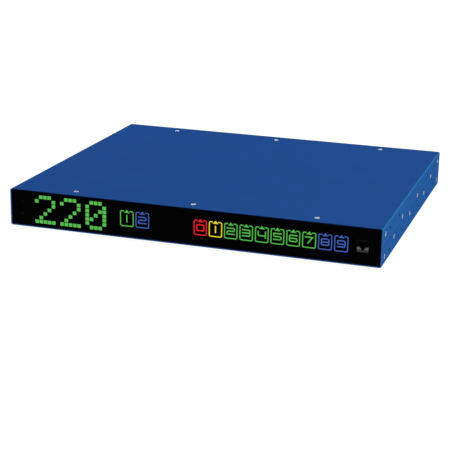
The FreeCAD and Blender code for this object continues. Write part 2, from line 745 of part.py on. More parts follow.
# Front window, and the frame, lamps and boards behind it
def digit_places():
    first = -HALF + DIGITS_FROM_LEFT + DIGIT_WIDTH / 2
    return [first + number * (DIGIT_WIDTH + DOT_PITCH_WIDE) for number in range(DIGIT_COUNT)]


def button_places():
    x = -HALF + BUTTON_FROM_LEFT
    return [(x, BUTTON_LOW), (x, BUTTON_LOW + BUTTON_RISE)]


def mask_limits():
    """Left and right edges of the two light masks."""
    wall = MASK_WALL
    left = -HALF + INPUT_ICONS_FROM_LEFT - wall / 2
    right = HALF - OUTPUT_ICONS_FROM_RIGHT + wall / 2
    inputs = (left, left + INPUT_ICONS * INPUT_ICON_PITCH + wall)
    outputs = (right - OUTPUT_ICONS * OUTPUT_ICON_PITCH - wall, right)
    return [inputs, outputs]


def jack_profile(clearance):
    middle = JACK_LOW + JACK_HEIGHT / 2
    return rectangle(JACK_X, middle, JACK_WIDTH + 2 * clearance, JACK_HEIGHT + 2 * clearance)


def make_window():
    width = WIDTH - 2 * (SHEET + WINDOW_GAP)
    height = HEIGHT - 2 * (SHEET + WINDOW_GAP)
    profile = rectangle(0, HEIGHT / 2, width, height, WINDOW_ROUND)
    plate = extrude(profile, from_front, WINDOW_FACE, WINDOW_BACK)
    cuts = [extrude(jack_profile(CUT_CLEARANCE), from_front, WINDOW_FACE, WINDOW_BACK)]
    for x, z in button_places():
        cuts.append(turned_rod(vector(x, WINDOW_FACE, z), ALONG_Y, BUTTON_HOLE, WINDOW_THICK))
    save("front_window", [plate.cut(cuts)])


def make_front_frame():
    cuts = [through_panel(jack_profile(CUT_CLEARANCE), WINDOW_BACK, 1)]
    room = 2 * CUT_CLEARANCE
    for x in digit_places():
        opening = rectangle(x, HEIGHT / 2 + DIGITS_RISE, DIGIT_WIDTH + room, DIGIT_HEIGHT + room)
        cuts.append(through_panel(opening, WINDOW_BACK, 1))
    for left, right in mask_limits():
        middle = (ICON_LOW + ICON_HIGH) / 2
        opening = rectangle((left + right) / 2, middle, right - left + room, ICON_HIGH - ICON_LOW + room)
        cuts.append(through_panel(opening, WINDOW_BACK, 1))
    x, low = button_places()[0]
    slot_width = SWITCH_SIDE
    slot = rectangle(x, low + BUTTON_RISE / 2, slot_width, BUTTON_RISE + slot_width)
    cuts.append(through_panel(slot, WINDOW_BACK, 1))
    cuts += lip_holes()
    save("front_frame", [folded_panel(WINDOW_BACK, 1).cut(cuts)])


def make_display():
    right = JACK_X - JACK_WIDTH / 2 - BOARD_EDGE
    board = (DISPLAY_BOARD_FRONT, DISPLAY_BOARD_BACK)
    save("display_board", [block((-BOARD_SIDE, right), board, (BOARD_MARGIN, HEIGHT - BOARD_MARGIN))])
    digits = []
    for x in digit_places():
        face = rectangle(x, HEIGHT / 2 + DIGITS_RISE, DIGIT_WIDTH, DIGIT_HEIGHT)
        digits.append(extrude(face, from_front, WINDOW_BACK, DISPLAY_BOARD_FRONT))
    save("digit_matrices", digits)
    masks = []
    lamps = []
    counts = (INPUT_ICONS, OUTPUT_ICONS)
    pitches = (INPUT_ICON_PITCH, OUTPUT_ICON_PITCH)
    middle = (ICON_LOW + ICON_HIGH) / 2
    for limits, count, pitch in zip(mask_limits(), counts, pitches):
        mask = block(limits, (WINDOW_BACK, DISPLAY_BOARD_FRONT), (ICON_LOW, ICON_HIGH))
        cells = []
        for number in range(count):
            x = limits[0] + MASK_WALL / 2 + (number + 0.5) * pitch
            cell = rectangle(x, middle, pitch - MASK_WALL, ICON_HIGH - ICON_LOW - 2 * MASK_WALL)
            cells.append(extrude(cell, from_front, WINDOW_BACK, DISPLAY_BOARD_FRONT))
            lamp = rectangle(x, middle, ICON_LAMP_SIDE, ICON_LAMP_SIDE)
            lamp_face = DISPLAY_BOARD_FRONT - ICON_LAMP_THICK
            lamps.append(extrude(lamp, from_front, lamp_face, DISPLAY_BOARD_FRONT))
        masks.append(mask.cut(cells))
    save("icon_light_masks", masks)
    save("icon_lamps", lamps)
    spacers = []
    for x in spacer_columns(right):
        for z in (SPACER_INSET, HEIGHT - SPACER_INSET):
            spacers.append(hexagon(x, z, SPACER_FLATS, from_front, FRAME_BACK, DISPLAY_BOARD_FRONT))
    save("display_spacers", spacers)


def spacer_columns(board_end):
    """Spacers stand midway between the frame's openings, and between the last one and the board's end."""
    inputs, outputs = mask_limits()
    slot_end = button_places()[0][0] + SWITCH_SIDE / 2
    first_digit = digit_places()[0] - DIGIT_WIDTH / 2
    last_digit = digit_places()[-1] + DIGIT_WIDTH / 2
    return [
        (slot_end + first_digit) / 2,
        (last_digit + inputs[0]) / 2,
        (inputs[1] + outputs[0]) / 2,
        (outputs[1] + board_end) / 2,
    ]


# Pin-hole buttons: a stem with a collar behind the window, pushed into a switch on the display board
def make_buttons():
    stem_radius = BUTTON_HOLE / 2 - BUTTON_CLEARANCE
    stem_face = WINDOW_FACE + BUTTON_SINK
    bore_floor = DISPLAY_BOARD_FRONT - SWITCH_FLOOR
    stem_length = bore_floor - BUTTON_TRAVEL - BUTTON_CLEARANCE - stem_face
    collar_start = WINDOW_BACK + BUTTON_CLEARANCE - stem_face
    collar_end = collar_start + BUTTON_COLLAR_THICK
    switches = []
    for node, (x, z) in zip(("lower_button", "upper_button"), button_places()):
        stations = [(0, stem_radius), (collar_start, stem_radius), (collar_start, BUTTON_COLLAR / 2)]
        stations += [(collar_end, BUTTON_COLLAR / 2), (collar_end, stem_radius), (stem_length, stem_radius)]
        save(node, [turned(vector(x, stem_face, z), ALONG_Y, stations)])
        square = rectangle(x, z, SWITCH_SIDE, SWITCH_SIDE)
        switch_face = DISPLAY_BOARD_FRONT - SWITCH_THICK
        switch = extrude(square, from_front, switch_face, DISPLAY_BOARD_FRONT)
        guide = turned_rod(vector(x, switch_face, z), ALONG_Y, BUTTON_HOLE, bore_floor - switch_face)
        switches.append(switch.cut(guide))
    save("button_switches", switches)


# Network jack: a moulded body with a plug cavity, a stepped notch for the plug's clip, and sprung pins
def make_jack():
    body = extrude(jack_profile(0), from_front, JACK_FACE, JACK_FACE + JACK_DEPTH)
    roof = JACK_LOW + JACK_HEIGHT - JACK_ROOF
    sill = roof - JACK_CAVITY_HEIGHT
    notch = sill - JACK_NOTCH_HEIGHT
    cavity_half = JACK_CAVITY_WIDTH / 2
    notch_half = JACK_NOTCH_WIDTH / 2
    clip = notch - JACK_CLIP_HEIGHT
    clip_half = JACK_CLIP_WIDTH / 2
    cavity_profile = [
        (JACK_X - cavity_half, roof, 0),
        (JACK_X - cavity_half, sill, 0),
        (JACK_X - notch_half, sill, 0),
        (JACK_X - notch_half, notch, 0),
        (JACK_X - clip_half, notch, 0),
        (JACK_X - clip_half, clip, 0),
        (JACK_X + clip_half, clip, 0),
        (JACK_X + clip_half, notch, 0),
        (JACK_X + notch_half, notch, 0),
        (JACK_X + notch_half, sill, 0),
        (JACK_X + cavity_half, sill, 0),
        (JACK_X + cavity_half, roof, 0),
    ]
    cavity_back = JACK_FACE + JACK_CAVITY_DEPTH
    save("network_jack", [body.cut(extrude(cavity_profile, from_front, JACK_FACE, cavity_back))])
    pin_front = JACK_FACE + PIN_FRONT
    pin_profile = [
        (pin_front, roof, 0),
        (pin_front + PIN_THICK, roof, 0),
        (cavity_back, roof - PIN_DROP, 0),
        (cavity_back, roof - PIN_DROP - PIN_THICK, 0),
        (pin_front, roof - PIN_THICK, 0),
    ]
    pins = []
    for number in range(PIN_COUNT):
        x = JACK_X + (number - (PIN_COUNT - 1) / 2) * PIN_PITCH
        pins.append(extrude(pin_profile, from_side, x - PIN_WIDTH / 2, x + PIN_WIDTH / 2))
    save("jack_contacts", pins)


# Power board: rows of pieces from the rear forwards, behind the outlets and the inlets
def make_power_board():
    board = block((-BOARD_SIDE, BOARD_SIDE), (POWER_FRONT, POWER_REAR), (POWER_LOW, POWER_TOP))
    save("power_board", [board])
    relay_y = FIRST_ROW - RELAY_LENGTH / 2
    sensor_y = FIRST_ROW - RELAY_LENGTH - ROW_GAP - SENSOR_LENGTH / 2
    relays = []
    sensors = []
    for x in OUTLET_PLACES:
        relays.append(standing(x, relay_y, RELAY_WIDTH, RELAY_LENGTH, POWER_TOP, RELAY_HEIGHT))
        sensors.append(standing(x, sensor_y, SENSOR_WIDTH, SENSOR_LENGTH, POWER_TOP, SENSOR_HEIGHT))
    save("outlet_relays", relays)
    save("current_sensors", sensors)
    transfers = []
    chokes = []
    suppressors = []
    for x in INLET_PLACES:
        row = FIRST_ROW
        for number in range(TRANSFERS_PER_INLET):
            transfers.append(standing(
                x, row - TRANSFER_LENGTH / 2, TRANSFER_WIDTH, TRANSFER_LENGTH, POWER_TOP, TRANSFER_HEIGHT))
            row -= TRANSFER_LENGTH + ROW_GAP
        choke_y = row - CHOKE_LENGTH / 2
        chokes.append(standing(x, choke_y, CHOKE_WIDTH, CHOKE_LENGTH, POWER_TOP, CHOKE_HEIGHT))
        row -= CHOKE_LENGTH + ROW_GAP
        for step in (-1, 1):
            beside = x + step * (SUPPRESSOR_WIDTH + ROW_GAP) / 2
            suppressors.append(standing(
                beside, row - SUPPRESSOR_LENGTH / 2,
                SUPPRESSOR_WIDTH, SUPPRESSOR_LENGTH, POWER_TOP, SUPPRESSOR_HEIGHT))
    save("transfer_relays", transfers)
    save("filter_chokes", chokes)
    save("suppressor_capacitors", suppressors)
    supply_y = sensor_y - SENSOR_LENGTH / 2 - ROW_GAP - SUPPLY_LENGTH / 2
    supplies = []
    for number in range(INLET_COUNT):
        x = OUTLET_PLACES[-1] + number * (SUPPLY_WIDTH + ROW_GAP)
        supplies.append(standing(x, supply_y, SUPPLY_WIDTH, SUPPLY_LENGTH, POWER_TOP, SUPPLY_HEIGHT))
    save("power_supplies", supplies)


# Control board: the jack stands on its front edge, and its pieces stand in two rows behind
def make_control_board():
    level = (CONTROL_TOP - BOARD, CONTROL_TOP)
    board = block((CONTROL_LEFT, BOARD_SIDE), (CONTROL_FRONT, CONTROL_REAR), level)
    save("control_board", [board])
    row = JACK_FACE + JACK_DEPTH + PIECE_GAP + PROCESSOR_SIDE
    x = BOARD_SIDE - PIECE_GAP - PROCESSOR_SIDE / 2
    save("processor", [standing(x, row, PROCESSOR_SIDE, PROCESSOR_SIDE, CONTROL_TOP, PROCESSOR_HEIGHT)])
    x -= PROCESSOR_SIDE / 2 + PIECE_GAP + MEMORY_WIDTH / 2
    memories = []
    for number in range(MEMORY_COUNT):
        memories.append(standing(x, row, MEMORY_WIDTH, MEMORY_LENGTH, CONTROL_TOP, MEMORY_HEIGHT))
        x -= MEMORY_WIDTH + PIECE_GAP
    save("memory_chips", memories)
    back_row = CONTROL_REAR - SOCKET_SIDE - PIECE_GAP - CELL_RADIUS - HOLDER_WALL
    x = BOARD_SIDE - PIECE_GAP - CELL_RADIUS - HOLDER_WALL
    holder_side = 2 * (CELL_RADIUS + CUT_CLEARANCE + HOLDER_WALL)
    floor = CONTROL_TOP + HOLDER_WALL
    holder = standing(x, back_row, holder_side, holder_side, CONTROL_TOP, HOLDER_WALL + CELL_THICK)
    pocket = turned_rod(vector(x, back_row, floor), ALONG_Z, 2 * (CELL_RADIUS + CUT_CLEARANCE), CELL_THICK)
    save("cell_holder", [holder.cut(pocket)])
    save("coin_cell", [turned_rod(vector(x, back_row, floor), ALONG_Z, 2 * CELL_RADIUS, CELL_THICK)])
    x -= holder_side / 2 + PIECE_GAP + BUZZER_RADIUS
    buzzer_base = vector(x, back_row, CONTROL_TOP)
    save("buzzer", [turned_rod(buzzer_base, ALONG_Z, 2 * BUZZER_RADIUS, BUZZER_HEIGHT)])
    x -= BUZZER_RADIUS + PIECE_GAP + BACKUP_RADIUS
    backups = []
    for number in range(BACKUP_COUNT):
        base = vector(x, back_row, CONTROL_TOP)
        backups.append(turned_rod(base, ALONG_Z, 2 * BACKUP_RADIUS, BACKUP_HEIGHT))
        x -= 2 * BACKUP_RADIUS + PIECE_GAP
    save("backup_capacitors", backups)


# Ribbons: one from the display board down to the control board, one over to the power board
def make_ribbons():
    x = CONTROL_LEFT + PIECE_GAP + SOCKET_WIDTH / 2
    socket = (x - SOCKET_WIDTH / 2, x + SOCKET_WIDTH / 2)
    ribbon = (x - RIBBON_WIDTH / 2, x + RIBBON_WIDTH / 2)
    socket_top = CONTROL_TOP + SOCKET_HEIGHT
    half = RIBBON_THICK / 2
    near = CONTROL_FRONT + LONG_LIP + SOCKET_SIDE
    far = CONTROL_REAR - SOCKET_SIDE
    power = POWER_FRONT + SOCKET_SIDE
    side_low = socket_top + SOCKET_SIDE / 2
    display_socket_back = DISPLAY_BOARD_BACK + SOCKET_HEIGHT
    sockets = [block(socket, (DISPLAY_BOARD_BACK, display_socket_back), (side_low, side_low + SOCKET_SIDE))]
    for y in (near, far):
        sockets.append(standing(x, y, SOCKET_WIDTH, SOCKET_SIDE, CONTROL_TOP, SOCKET_HEIGHT))
    sockets.append(standing(x, power, SOCKET_WIDTH, SOCKET_SIDE, POWER_TOP, SOCKET_HEIGHT))
    save("ribbon_sockets", sockets)
    level = side_low + SOCKET_SIDE / 2
    inner_bend = RIBBON_BEND - RIBBON_THICK
    down = [
        (display_socket_back, level + half, 0),
        (near + half, level + half, RIBBON_BEND),
        (near + half, socket_top, 0),
        (near - half, socket_top, 0),
        (near - half, level - half, inner_bend),
        (display_socket_back, level - half, 0),
    ]
    save("display_ribbon", [extrude(down, from_side, *ribbon)])
    over = [
        (far - half, socket_top, 0),
        (far - half, RIBBON_TOP, RIBBON_BEND),
        (power + half, RIBBON_TOP, RIBBON_BEND),
        (power + half, POWER_TOP + SOCKET_HEIGHT, 0),
        (power - half, POWER_TOP + SOCKET_HEIGHT, 0),
        (power - half, RIBBON_TOP - RIBBON_THICK, inner_bend),
        (far + half, RIBBON_TOP - RIBBON_THICK, inner_bend),
        (far + half, socket_top, 0),
    ]
    save("power_ribbon", [extrude(over, from_side, *ribbon)])


# Posts between the case floor and the two flat boards
def make_posts():
    posts = []
    reach = BOARD_SIDE - POST_INSET
    for x in (-reach, -reach / 3, reach / 3, reach):
        for y in (POWER_FRONT + POST_INSET, POWER_REAR - POST_INSET):
            posts.append(hexagon(x, y, POST_FLATS, from_above, SHEET, POWER_LOW))
    for x in (CONTROL_LEFT + POST_INSET, reach):
        for y in (CONTROL_FRONT + LONG_LIP, CONTROL_REAR - POST_INSET):
            posts.append(hexagon(x, y, POST_FLATS, from_above, SHEET, CONTROL_TOP - BOARD))
    save("board_posts", posts)


os.makedirs("parts", exist_ok=True)
make_case()
make_rails()
make_window()
make_front_frame()
make_rear_panel()
make_outlets()
make_inlets()
make_connector_board()
make_display()
make_buttons()
make_jack()
make_power_board()
make_control_board()
make_ribbons()
make_posts()
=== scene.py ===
import math
import bmesh
import bpy
from mathutils import Matrix, Vector


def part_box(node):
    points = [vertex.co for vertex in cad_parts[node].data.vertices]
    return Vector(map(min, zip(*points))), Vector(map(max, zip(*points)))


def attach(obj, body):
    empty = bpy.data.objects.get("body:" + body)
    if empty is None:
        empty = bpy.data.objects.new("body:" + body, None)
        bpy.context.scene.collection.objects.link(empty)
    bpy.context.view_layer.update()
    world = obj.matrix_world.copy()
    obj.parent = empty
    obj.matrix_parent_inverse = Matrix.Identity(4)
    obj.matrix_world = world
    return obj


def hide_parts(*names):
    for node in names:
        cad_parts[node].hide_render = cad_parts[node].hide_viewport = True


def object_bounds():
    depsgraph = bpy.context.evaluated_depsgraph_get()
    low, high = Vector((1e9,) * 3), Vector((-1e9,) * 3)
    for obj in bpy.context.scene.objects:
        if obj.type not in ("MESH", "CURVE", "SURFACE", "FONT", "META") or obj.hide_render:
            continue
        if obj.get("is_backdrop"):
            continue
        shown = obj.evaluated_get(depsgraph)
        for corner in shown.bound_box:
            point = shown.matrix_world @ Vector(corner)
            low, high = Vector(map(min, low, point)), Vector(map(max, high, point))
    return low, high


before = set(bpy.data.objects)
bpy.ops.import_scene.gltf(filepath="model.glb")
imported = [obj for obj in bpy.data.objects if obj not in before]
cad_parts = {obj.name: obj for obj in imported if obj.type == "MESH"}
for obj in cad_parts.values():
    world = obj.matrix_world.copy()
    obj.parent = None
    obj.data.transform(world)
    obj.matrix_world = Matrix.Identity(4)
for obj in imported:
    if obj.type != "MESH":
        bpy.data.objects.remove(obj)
cad_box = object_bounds()


# Case halves
# Two channels folded from sheet steel, punched flat before folding and powder coated in satin blue.
# They meet on the sides, and screws hold both to the rails and to the lips of the end panels.
def linear(red, green, blue):
    """Colour for a shader socket, from the 0 to 255 values that a screen shows."""
    return [((level / 255 + 0.055) / 1.055) ** 2.4 for level in (red, green, blue)] + [1.0]


NOISE_DETAIL = 4
TONE_TOP = 0.5


def make_surface_grain():
    """Shader group with soft clouds, a fine grain and a tone of both, for colour, roughness and bump."""
    group = bpy.data.node_groups.new("surface_grain", "ShaderNodeTree")
    for name in ("Cloud Scale", "Grain Scale"):
        group.interface.new_socket(name, in_out="INPUT", socket_type="NodeSocketFloat")
    for name in ("Cloud", "Grain", "Tone"):
        group.interface.new_socket(name, in_out="OUTPUT", socket_type="NodeSocketFloat")
    inputs = group.nodes.new("NodeGroupInput")
    outputs = group.nodes.new("NodeGroupOutput")
    place = group.nodes.new("ShaderNodeTexCoord")
    tone = group.nodes.new("ShaderNodeMath")
    tone.operation = "MULTIPLY"
    for number, (size, result) in enumerate((("Cloud Scale", "Cloud"), ("Grain Scale", "Grain"))):
        noise = group.nodes.new("ShaderNodeTexNoise")
        noise.inputs["Detail"].default_value = NOISE_DETAIL
        group.links.new(place.outputs["Object"], noise.inputs["Vector"])
        group.links.new(inputs.outputs[size], noise.inputs["Scale"])
        group.links.new(noise.outputs["Fac"], outputs.inputs[result])
        group.links.new(noise.outputs["Fac"], tone.inputs[number])
    spread = group.nodes.new("ShaderNodeMapRange")
    spread.inputs["From Max"].default_value = TONE_TOP
    group.links.new(tone.outputs["Value"], spread.inputs["Value"])
    group.links.new(spread.outputs["Result"], outputs.inputs["Tone"])
    return group


surface_grain = make_surface_grain()
GRAIN_SPREAD = (0.3, 0.7)
BUMP_DEPTH = 0.00005


def make_finish(name, colour, rough, grain, bump, shade=0.1, cloud=30):
    """Material with clouded colour, uneven roughness and a fine bump. Its shader comes back beside it."""
    material = bpy.data.materials.new(name)
    material.use_nodes = True
    nodes = material.node_tree.nodes
    links = material.node_tree.links
    shader = nodes["Principled BSDF"]
    texture = nodes.new("ShaderNodeGroup")
    texture.node_tree = surface_grain
    texture.inputs["Cloud Scale"].default_value = cloud
    texture.inputs["Grain Scale"].default_value = grain
    tint = nodes.new("ShaderNodeMix")
    tint.data_type = "RGBA"
    tint.inputs["A"].default_value = [level * (1 - shade) for level in colour[:3]] + [1]
    tint.inputs["B"].default_value = [level * (1 + shade) for level in colour[:3]] + [1]
    spread = nodes.new("ShaderNodeMapRange")
    spread.inputs["From Min"].default_value = GRAIN_SPREAD[0]
    spread.inputs["From Max"].default_value = GRAIN_SPREAD[1]
    spread.inputs["To Min"].default_value = rough[0]
    spread.inputs["To Max"].default_value = rough[1]
    relief = nodes.new("ShaderNodeBump")
    relief.inputs["Strength"].default_value = bump
    relief.inputs["Distance"].default_value = BUMP_DEPTH
    links.new(texture.outputs["Tone"], tint.inputs["Factor"])
    links.new(tint.outputs["Result"], shader.inputs["Base Color"])
    links.new(texture.outputs["Grain"], spread.inputs["Value"])
    links.new(spread.outputs["Result"], shader.inputs["Roughness"])
    links.new(texture.outputs["Grain"], relief.inputs["Height"])
    links.new(relief.outputs["Normal"], shader.inputs["Normal"])
    return material, shader


def dress(material, *names):
    """Gives CAD pieces their material."""
    for name in names:
        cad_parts[name].material_slots[0].material = material


def make_paint(name):
    """Satin blue powder coat, with a fine texture and next to no gloss."""
    paint, shader = make_finish(
        name, linear(39, 82, 157), shade=0.06, rough=(0.42, 0.6), grain=1100, bump=0.35)
    shader.inputs["Specular IOR Level"].default_value = 0.0
    return paint, shader


def masked(nodes, links, values, low, high):
    """Mask that rises from 0 to 1 as the size of a product of two values goes from low to high."""
    product = nodes.new("ShaderNodeMath")
    product.operation = "MULTIPLY"
    for value, socket in zip(values, product.inputs):
        links.new(value, socket)
    size = nodes.new("ShaderNodeMath")
    size.operation = "ABSOLUTE"
    mask = nodes.new("ShaderNodeMapRange")
    mask.inputs["From Min"].default_value = low
    mask.inputs["From Max"].default_value = high
    links.new(product.outputs["Value"], size.inputs[0])
    links.new(size.outputs["Value"], mask.inputs["Value"])
    return mask.outputs["Result"]


CUT_EDGE = 0.0014
BEND_TURN = (0.1, 0.5)
CUT_TURN = (0.2, 0.5)
FRONT_TURN = (-0.4, -0.7)
# Painted highlight blues for the bends and the sides' front rims; painted shade blues for the hole walls
# and the top's front edge.
BEND_HIGHLIGHT_BLUE = linear(46, 106, 174)
RIM_HIGHLIGHT_BLUE = linear(50, 100, 176)
HOLE_SHADE_BLUE = linear(10, 18, 42)
BROW_SHADE_BLUE = linear(9, 16, 38)


def paint_edge_light_and_shade(material, shader):
    """Paints highlights along the bends and the front edges of the sides: a lighter blue where light
    catches them.

    Paints shade in the hole walls and on the front edge of the top: a darker blue where they lie in shade.
    """
    nodes = material.node_tree.nodes
    links = material.node_tree.links
    surface = nodes.new("ShaderNodeNewGeometry")
    turned = nodes.new("ShaderNodeSeparateXYZ")
    links.new(surface.outputs["Normal"], turned.inputs["Vector"])
    place = nodes.new("ShaderNodeTexCoord")
    along = nodes.new("ShaderNodeSeparateXYZ")
    links.new(place.outputs["Object"], along.inputs["Vector"])
    low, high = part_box("upper_shell")
    inside = min(-low.y, high.y) - CUT_EDGE
    bends = masked(nodes, links, (turned.outputs["X"], turned.outputs["Z"]), *BEND_TURN)
    cuts = masked(nodes, links, (turned.outputs["Y"], turned.outputs["Y"]), *CUT_TURN)
    within = masked(
        nodes, links, (along.outputs["Y"], along.outputs["Y"]), inside ** 2, (inside - CUT_EDGE) ** 2)
    upper = masked(
        nodes, links, (along.outputs["Z"], along.outputs["Z"]), (high.z - CUT_EDGE) ** 2, high.z ** 2)
    hole_shade = masked(nodes, links, (cuts, within), 0, 1)
    front = nodes.new("ShaderNodeMapRange")
    front.inputs["From Min"].default_value = FRONT_TURN[0]
    front.inputs["From Max"].default_value = FRONT_TURN[1]
    links.new(turned.outputs["Y"], front.inputs["Value"])
    across = (along.outputs["X"], along.outputs["X"])
    near_side = (high.x - 2 * CUT_EDGE) ** 2
    sides = masked(nodes, links, across, near_side, (high.x - CUT_EDGE) ** 2)
    between = masked(nodes, links, across, high.x ** 2, near_side)
    rim_highlights = masked(nodes, links, (front.outputs["Result"], sides), 0, 1)
    top_edge = masked(nodes, links, (front.outputs["Result"], upper), 0, 0.1)
    brow_shade = masked(nodes, links, (top_edge, between), 0, 1)
    # Each mask mixes a painted highlight or painted shade over the paint's own colour.
    for mask, colour in ((bends, BEND_HIGHLIGHT_BLUE), (rim_highlights, RIM_HIGHLIGHT_BLUE), (hole_shade, HOLE_SHADE_BLUE), (brow_shade, BROW_SHADE_BLUE)):
        coat = nodes.new("ShaderNodeMix")
        coat.data_type = "RGBA"
        coat.inputs["B"].default_value = colour
        links.new(mask, coat.inputs["Factor"])
        links.new(shader.inputs["Base Color"].links[0].from_socket, coat.inputs["A"])
        links.new(coat.outputs["Result"], shader.inputs["Base Color"])


case_paint, case_shader = make_paint("case_powder_coat")
# The case paint gets painted highlights on its bends and rims, and painted shade in its hole walls and on
# its top edge.
paint_edge_light_and_shade(case_paint, case_shader)
dress(case_paint, "upper_shell", "lower_shell")


# Rear panel
# A folded sheet with a cut-out for each connector and a hole for each status light.
# It has the same powder coat as the case and stands a little inside its rear edge.
panel_paint, _ = make_paint("panel_powder_coat")
dress(panel_paint, "rear_panel")


# Rails, frame and other bright metal inside
# The rails are grooved aluminium bars behind the sides. The front frame is folded from zinc-plated steel,
# and the posts and spacers are turned from hexagonal rod.
zinc_plate, zinc_shader = make_finish(
    "zinc_plate", linear(158, 160, 162), shade=0.15, rough=(0.28, 0.45), cloud=120, grain=2500, bump=0.1)
zinc_shader.inputs["Metallic"].default_value = 1.0
rail_metal, rail_shader = make_finish(
    "extruded_aluminium", linear(190, 192, 195), shade=0.08, rough=(0.3, 0.42), cloud=60, grain=900,
    bump=0.15)
rail_shader.inputs["Metallic"].default_value = 1.0
dress(rail_metal, "left_rail", "right_rail")
dress(zinc_plate, "front_frame", "display_spacers", "board_posts")


# Case screws
# Zinc-plated countersunk screws with a pressed cross recess, drawn flush with the sheet.
# Six hold the top to the lips of the end panels, and ten on each side cut into the rails' grooves.
SCREW_HEAD_RADIUS = 0.0028
SCREW_SHANK_RADIUS = 0.00155
SCREW_HEAD_DEPTH = 0.00115
CROSS_REACH = 0.0016
CROSS_DEPTH = 0.0009
CROSS_DRAFT = 0.7
HEAD_SEGMENTS = 24
CROSS_TURN = math.radians(37)
MERGE_DISTANCE = 1e-6
# Top and side screws get their own tone of one zinc, set for how each face is lit: painted light.
SCREW_TONES_BY_LIGHT = {"top_screws": linear(166, 167, 168), "side_screws": linear(164, 167, 170)}


def solids(name):
    """Lowest and highest corners of each separate solid in a CAD piece, from left to right."""
    group = bmesh.new()
    group.from_mesh(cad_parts[name].data)
    bmesh.ops.remove_doubles(group, verts=group.verts, dist=MERGE_DISTANCE)
    unseen = set(group.verts)
    boxes = []
    while unseen:
        found = [unseen.pop()]
        for vert in found:
            near = {edge.other_vert(vert) for edge in vert.link_edges} & unseen
            unseen -= near
            found.extend(near)
        low = Vector([min(vert.co[axis] for vert in found) for axis in range(3)])
        high = Vector([max(vert.co[axis] for vert in found) for axis in range(3)])
        boxes.append((low, high))
    group.free()
    return sorted(boxes, key=lambda box: [round(value, 6) for value in (*box[0], *box[1])])


def gather(template, places):
    """One bmesh with a copy of the template at each place."""
    mesh = bpy.data.meshes.new("template")
    template.to_mesh(mesh)
    template.free()
    whole = bmesh.new()
    for place in places:
        count = len(whole.verts)
        whole.from_mesh(mesh)
        whole.verts.ensure_lookup_table()
        bmesh.ops.transform(whole, matrix=place, verts=whole.verts[count:])
    bpy.data.meshes.remove(mesh)
    return whole


def make_piece(name, shape, material):
    """Object from a bmesh, with its material, riding on the chassis."""
    bmesh.ops.recalc_face_normals(shape, faces=shape.faces)
    mesh = bpy.data.meshes.new(name)
    shape.to_mesh(mesh)
    shape.free()
    mesh.materials.append(material)
    piece = bpy.data.objects.new(name, mesh)
    bpy.context.scene.collection.objects.link(piece)
    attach(piece, "chassis")
    return piece


def drawn_out(shape, edges, distance, scale):
    """Extrudes a loop of edges down, narrows it about the axis and returns the new edges."""
    geometry = bmesh.ops.extrude_edge_only(shape, edges=edges)["geom"]
    verts = [item for item in geometry if isinstance(item, bmesh.types.BMVert)]
    bmesh.ops.translate(shape, verts=verts, vec=(0, 0, -distance))
    bmesh.ops.scale(shape, verts=verts, vec=(scale, scale, 1))
    return [item for item in geometry if isinstance(item, bmesh.types.BMEdge)]


def make_screw(length):
    """Countersunk screw along Z, with the flat of its head at zero."""
    screw = bmesh.new()
    bmesh.ops.create_circle(screw, radius=SCREW_HEAD_RADIUS, segments=HEAD_SEGMENTS)
    rim = list(screw.edges)
    bmesh.ops.create_grid(screw, x_segments=3, y_segments=3, size=CROSS_REACH)
    middles = {face: face.calc_center_median() for face in screw.faces}
    outer = (CROSS_REACH / 2) ** 2
    corners = [face for face, middle in middles.items() if abs(middle.x * middle.y) > outer]
    bmesh.ops.delete(screw, geom=corners, context="FACES")
    cross = list(screw.faces)
    outline = [edge for edge in screw.edges if len(edge.link_faces) == 1]
    bmesh.ops.triangle_fill(screw, use_beauty=True, edges=rim + outline)
    floor = bmesh.ops.extrude_face_region(screw, geom=cross)["geom"]
    floor = [item for item in floor if isinstance(item, bmesh.types.BMVert)]
    bmesh.ops.delete(screw, geom=cross, context="FACES")
    bmesh.ops.translate(screw, verts=floor, vec=(0, 0, -CROSS_DEPTH))
    bmesh.ops.scale(screw, verts=floor, vec=(CROSS_DRAFT, CROSS_DRAFT, 1))
    neck = drawn_out(screw, rim, SCREW_HEAD_DEPTH, SCREW_SHANK_RADIUS / SCREW_HEAD_RADIUS)
    drawn_out(screw, neck, length - SCREW_HEAD_DEPTH, 0)
    bmesh.ops.remove_doubles(screw, verts=screw.verts, dist=MERGE_DISTANCE)
    return screw


def screw_place(box, number):
    """Place of a screw from the box of its solid: which face it is in, and a turn of its own."""
    low, high = box
    middle = (low + high) / 2
    turn = Matrix.Rotation(CROSS_TURN * number, 4, "Z")
    if middle.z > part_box("side_screws")[1].z:
        return Matrix.Translation((middle.x, middle.y, high.z)) @ turn
    side = math.copysign(1, middle.x)
    head = Vector((high.x if side > 0 else low.x, middle.y, middle.z))
    return Matrix.Translation(head) @ Matrix.Rotation(side * math.pi / 2, 4, "Y") @ turn


for node, tone in SCREW_TONES_BY_LIGHT.items():
    boxes = solids(node)
    length = min(boxes[0][1] - boxes[0][0])
    places = [screw_place(box, number) for number, box in enumerate(boxes)]
    plating, plating_shader = make_finish(
        node + "_zinc", tone, shade=0.1, rough=(0.5, 0.62), cloud=400, grain=2500, bump=0.1)
    plating_shader.inputs["Metallic"].default_value = 1.0
    piece = make_piece(node + "_with_recess", gather(make_screw(length), places), plating)
    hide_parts(node)


# Outlets
# Each outlet is one moulding of dark grey glass-filled plastic, snapped into the rear panel.
# Its flange is matt, with a well round a core, and three slots in the core.
MOULDING_ROUND = 0.0003
EDGE_ANGLE = math.radians(35)
EDGE_SEGMENTS = 2


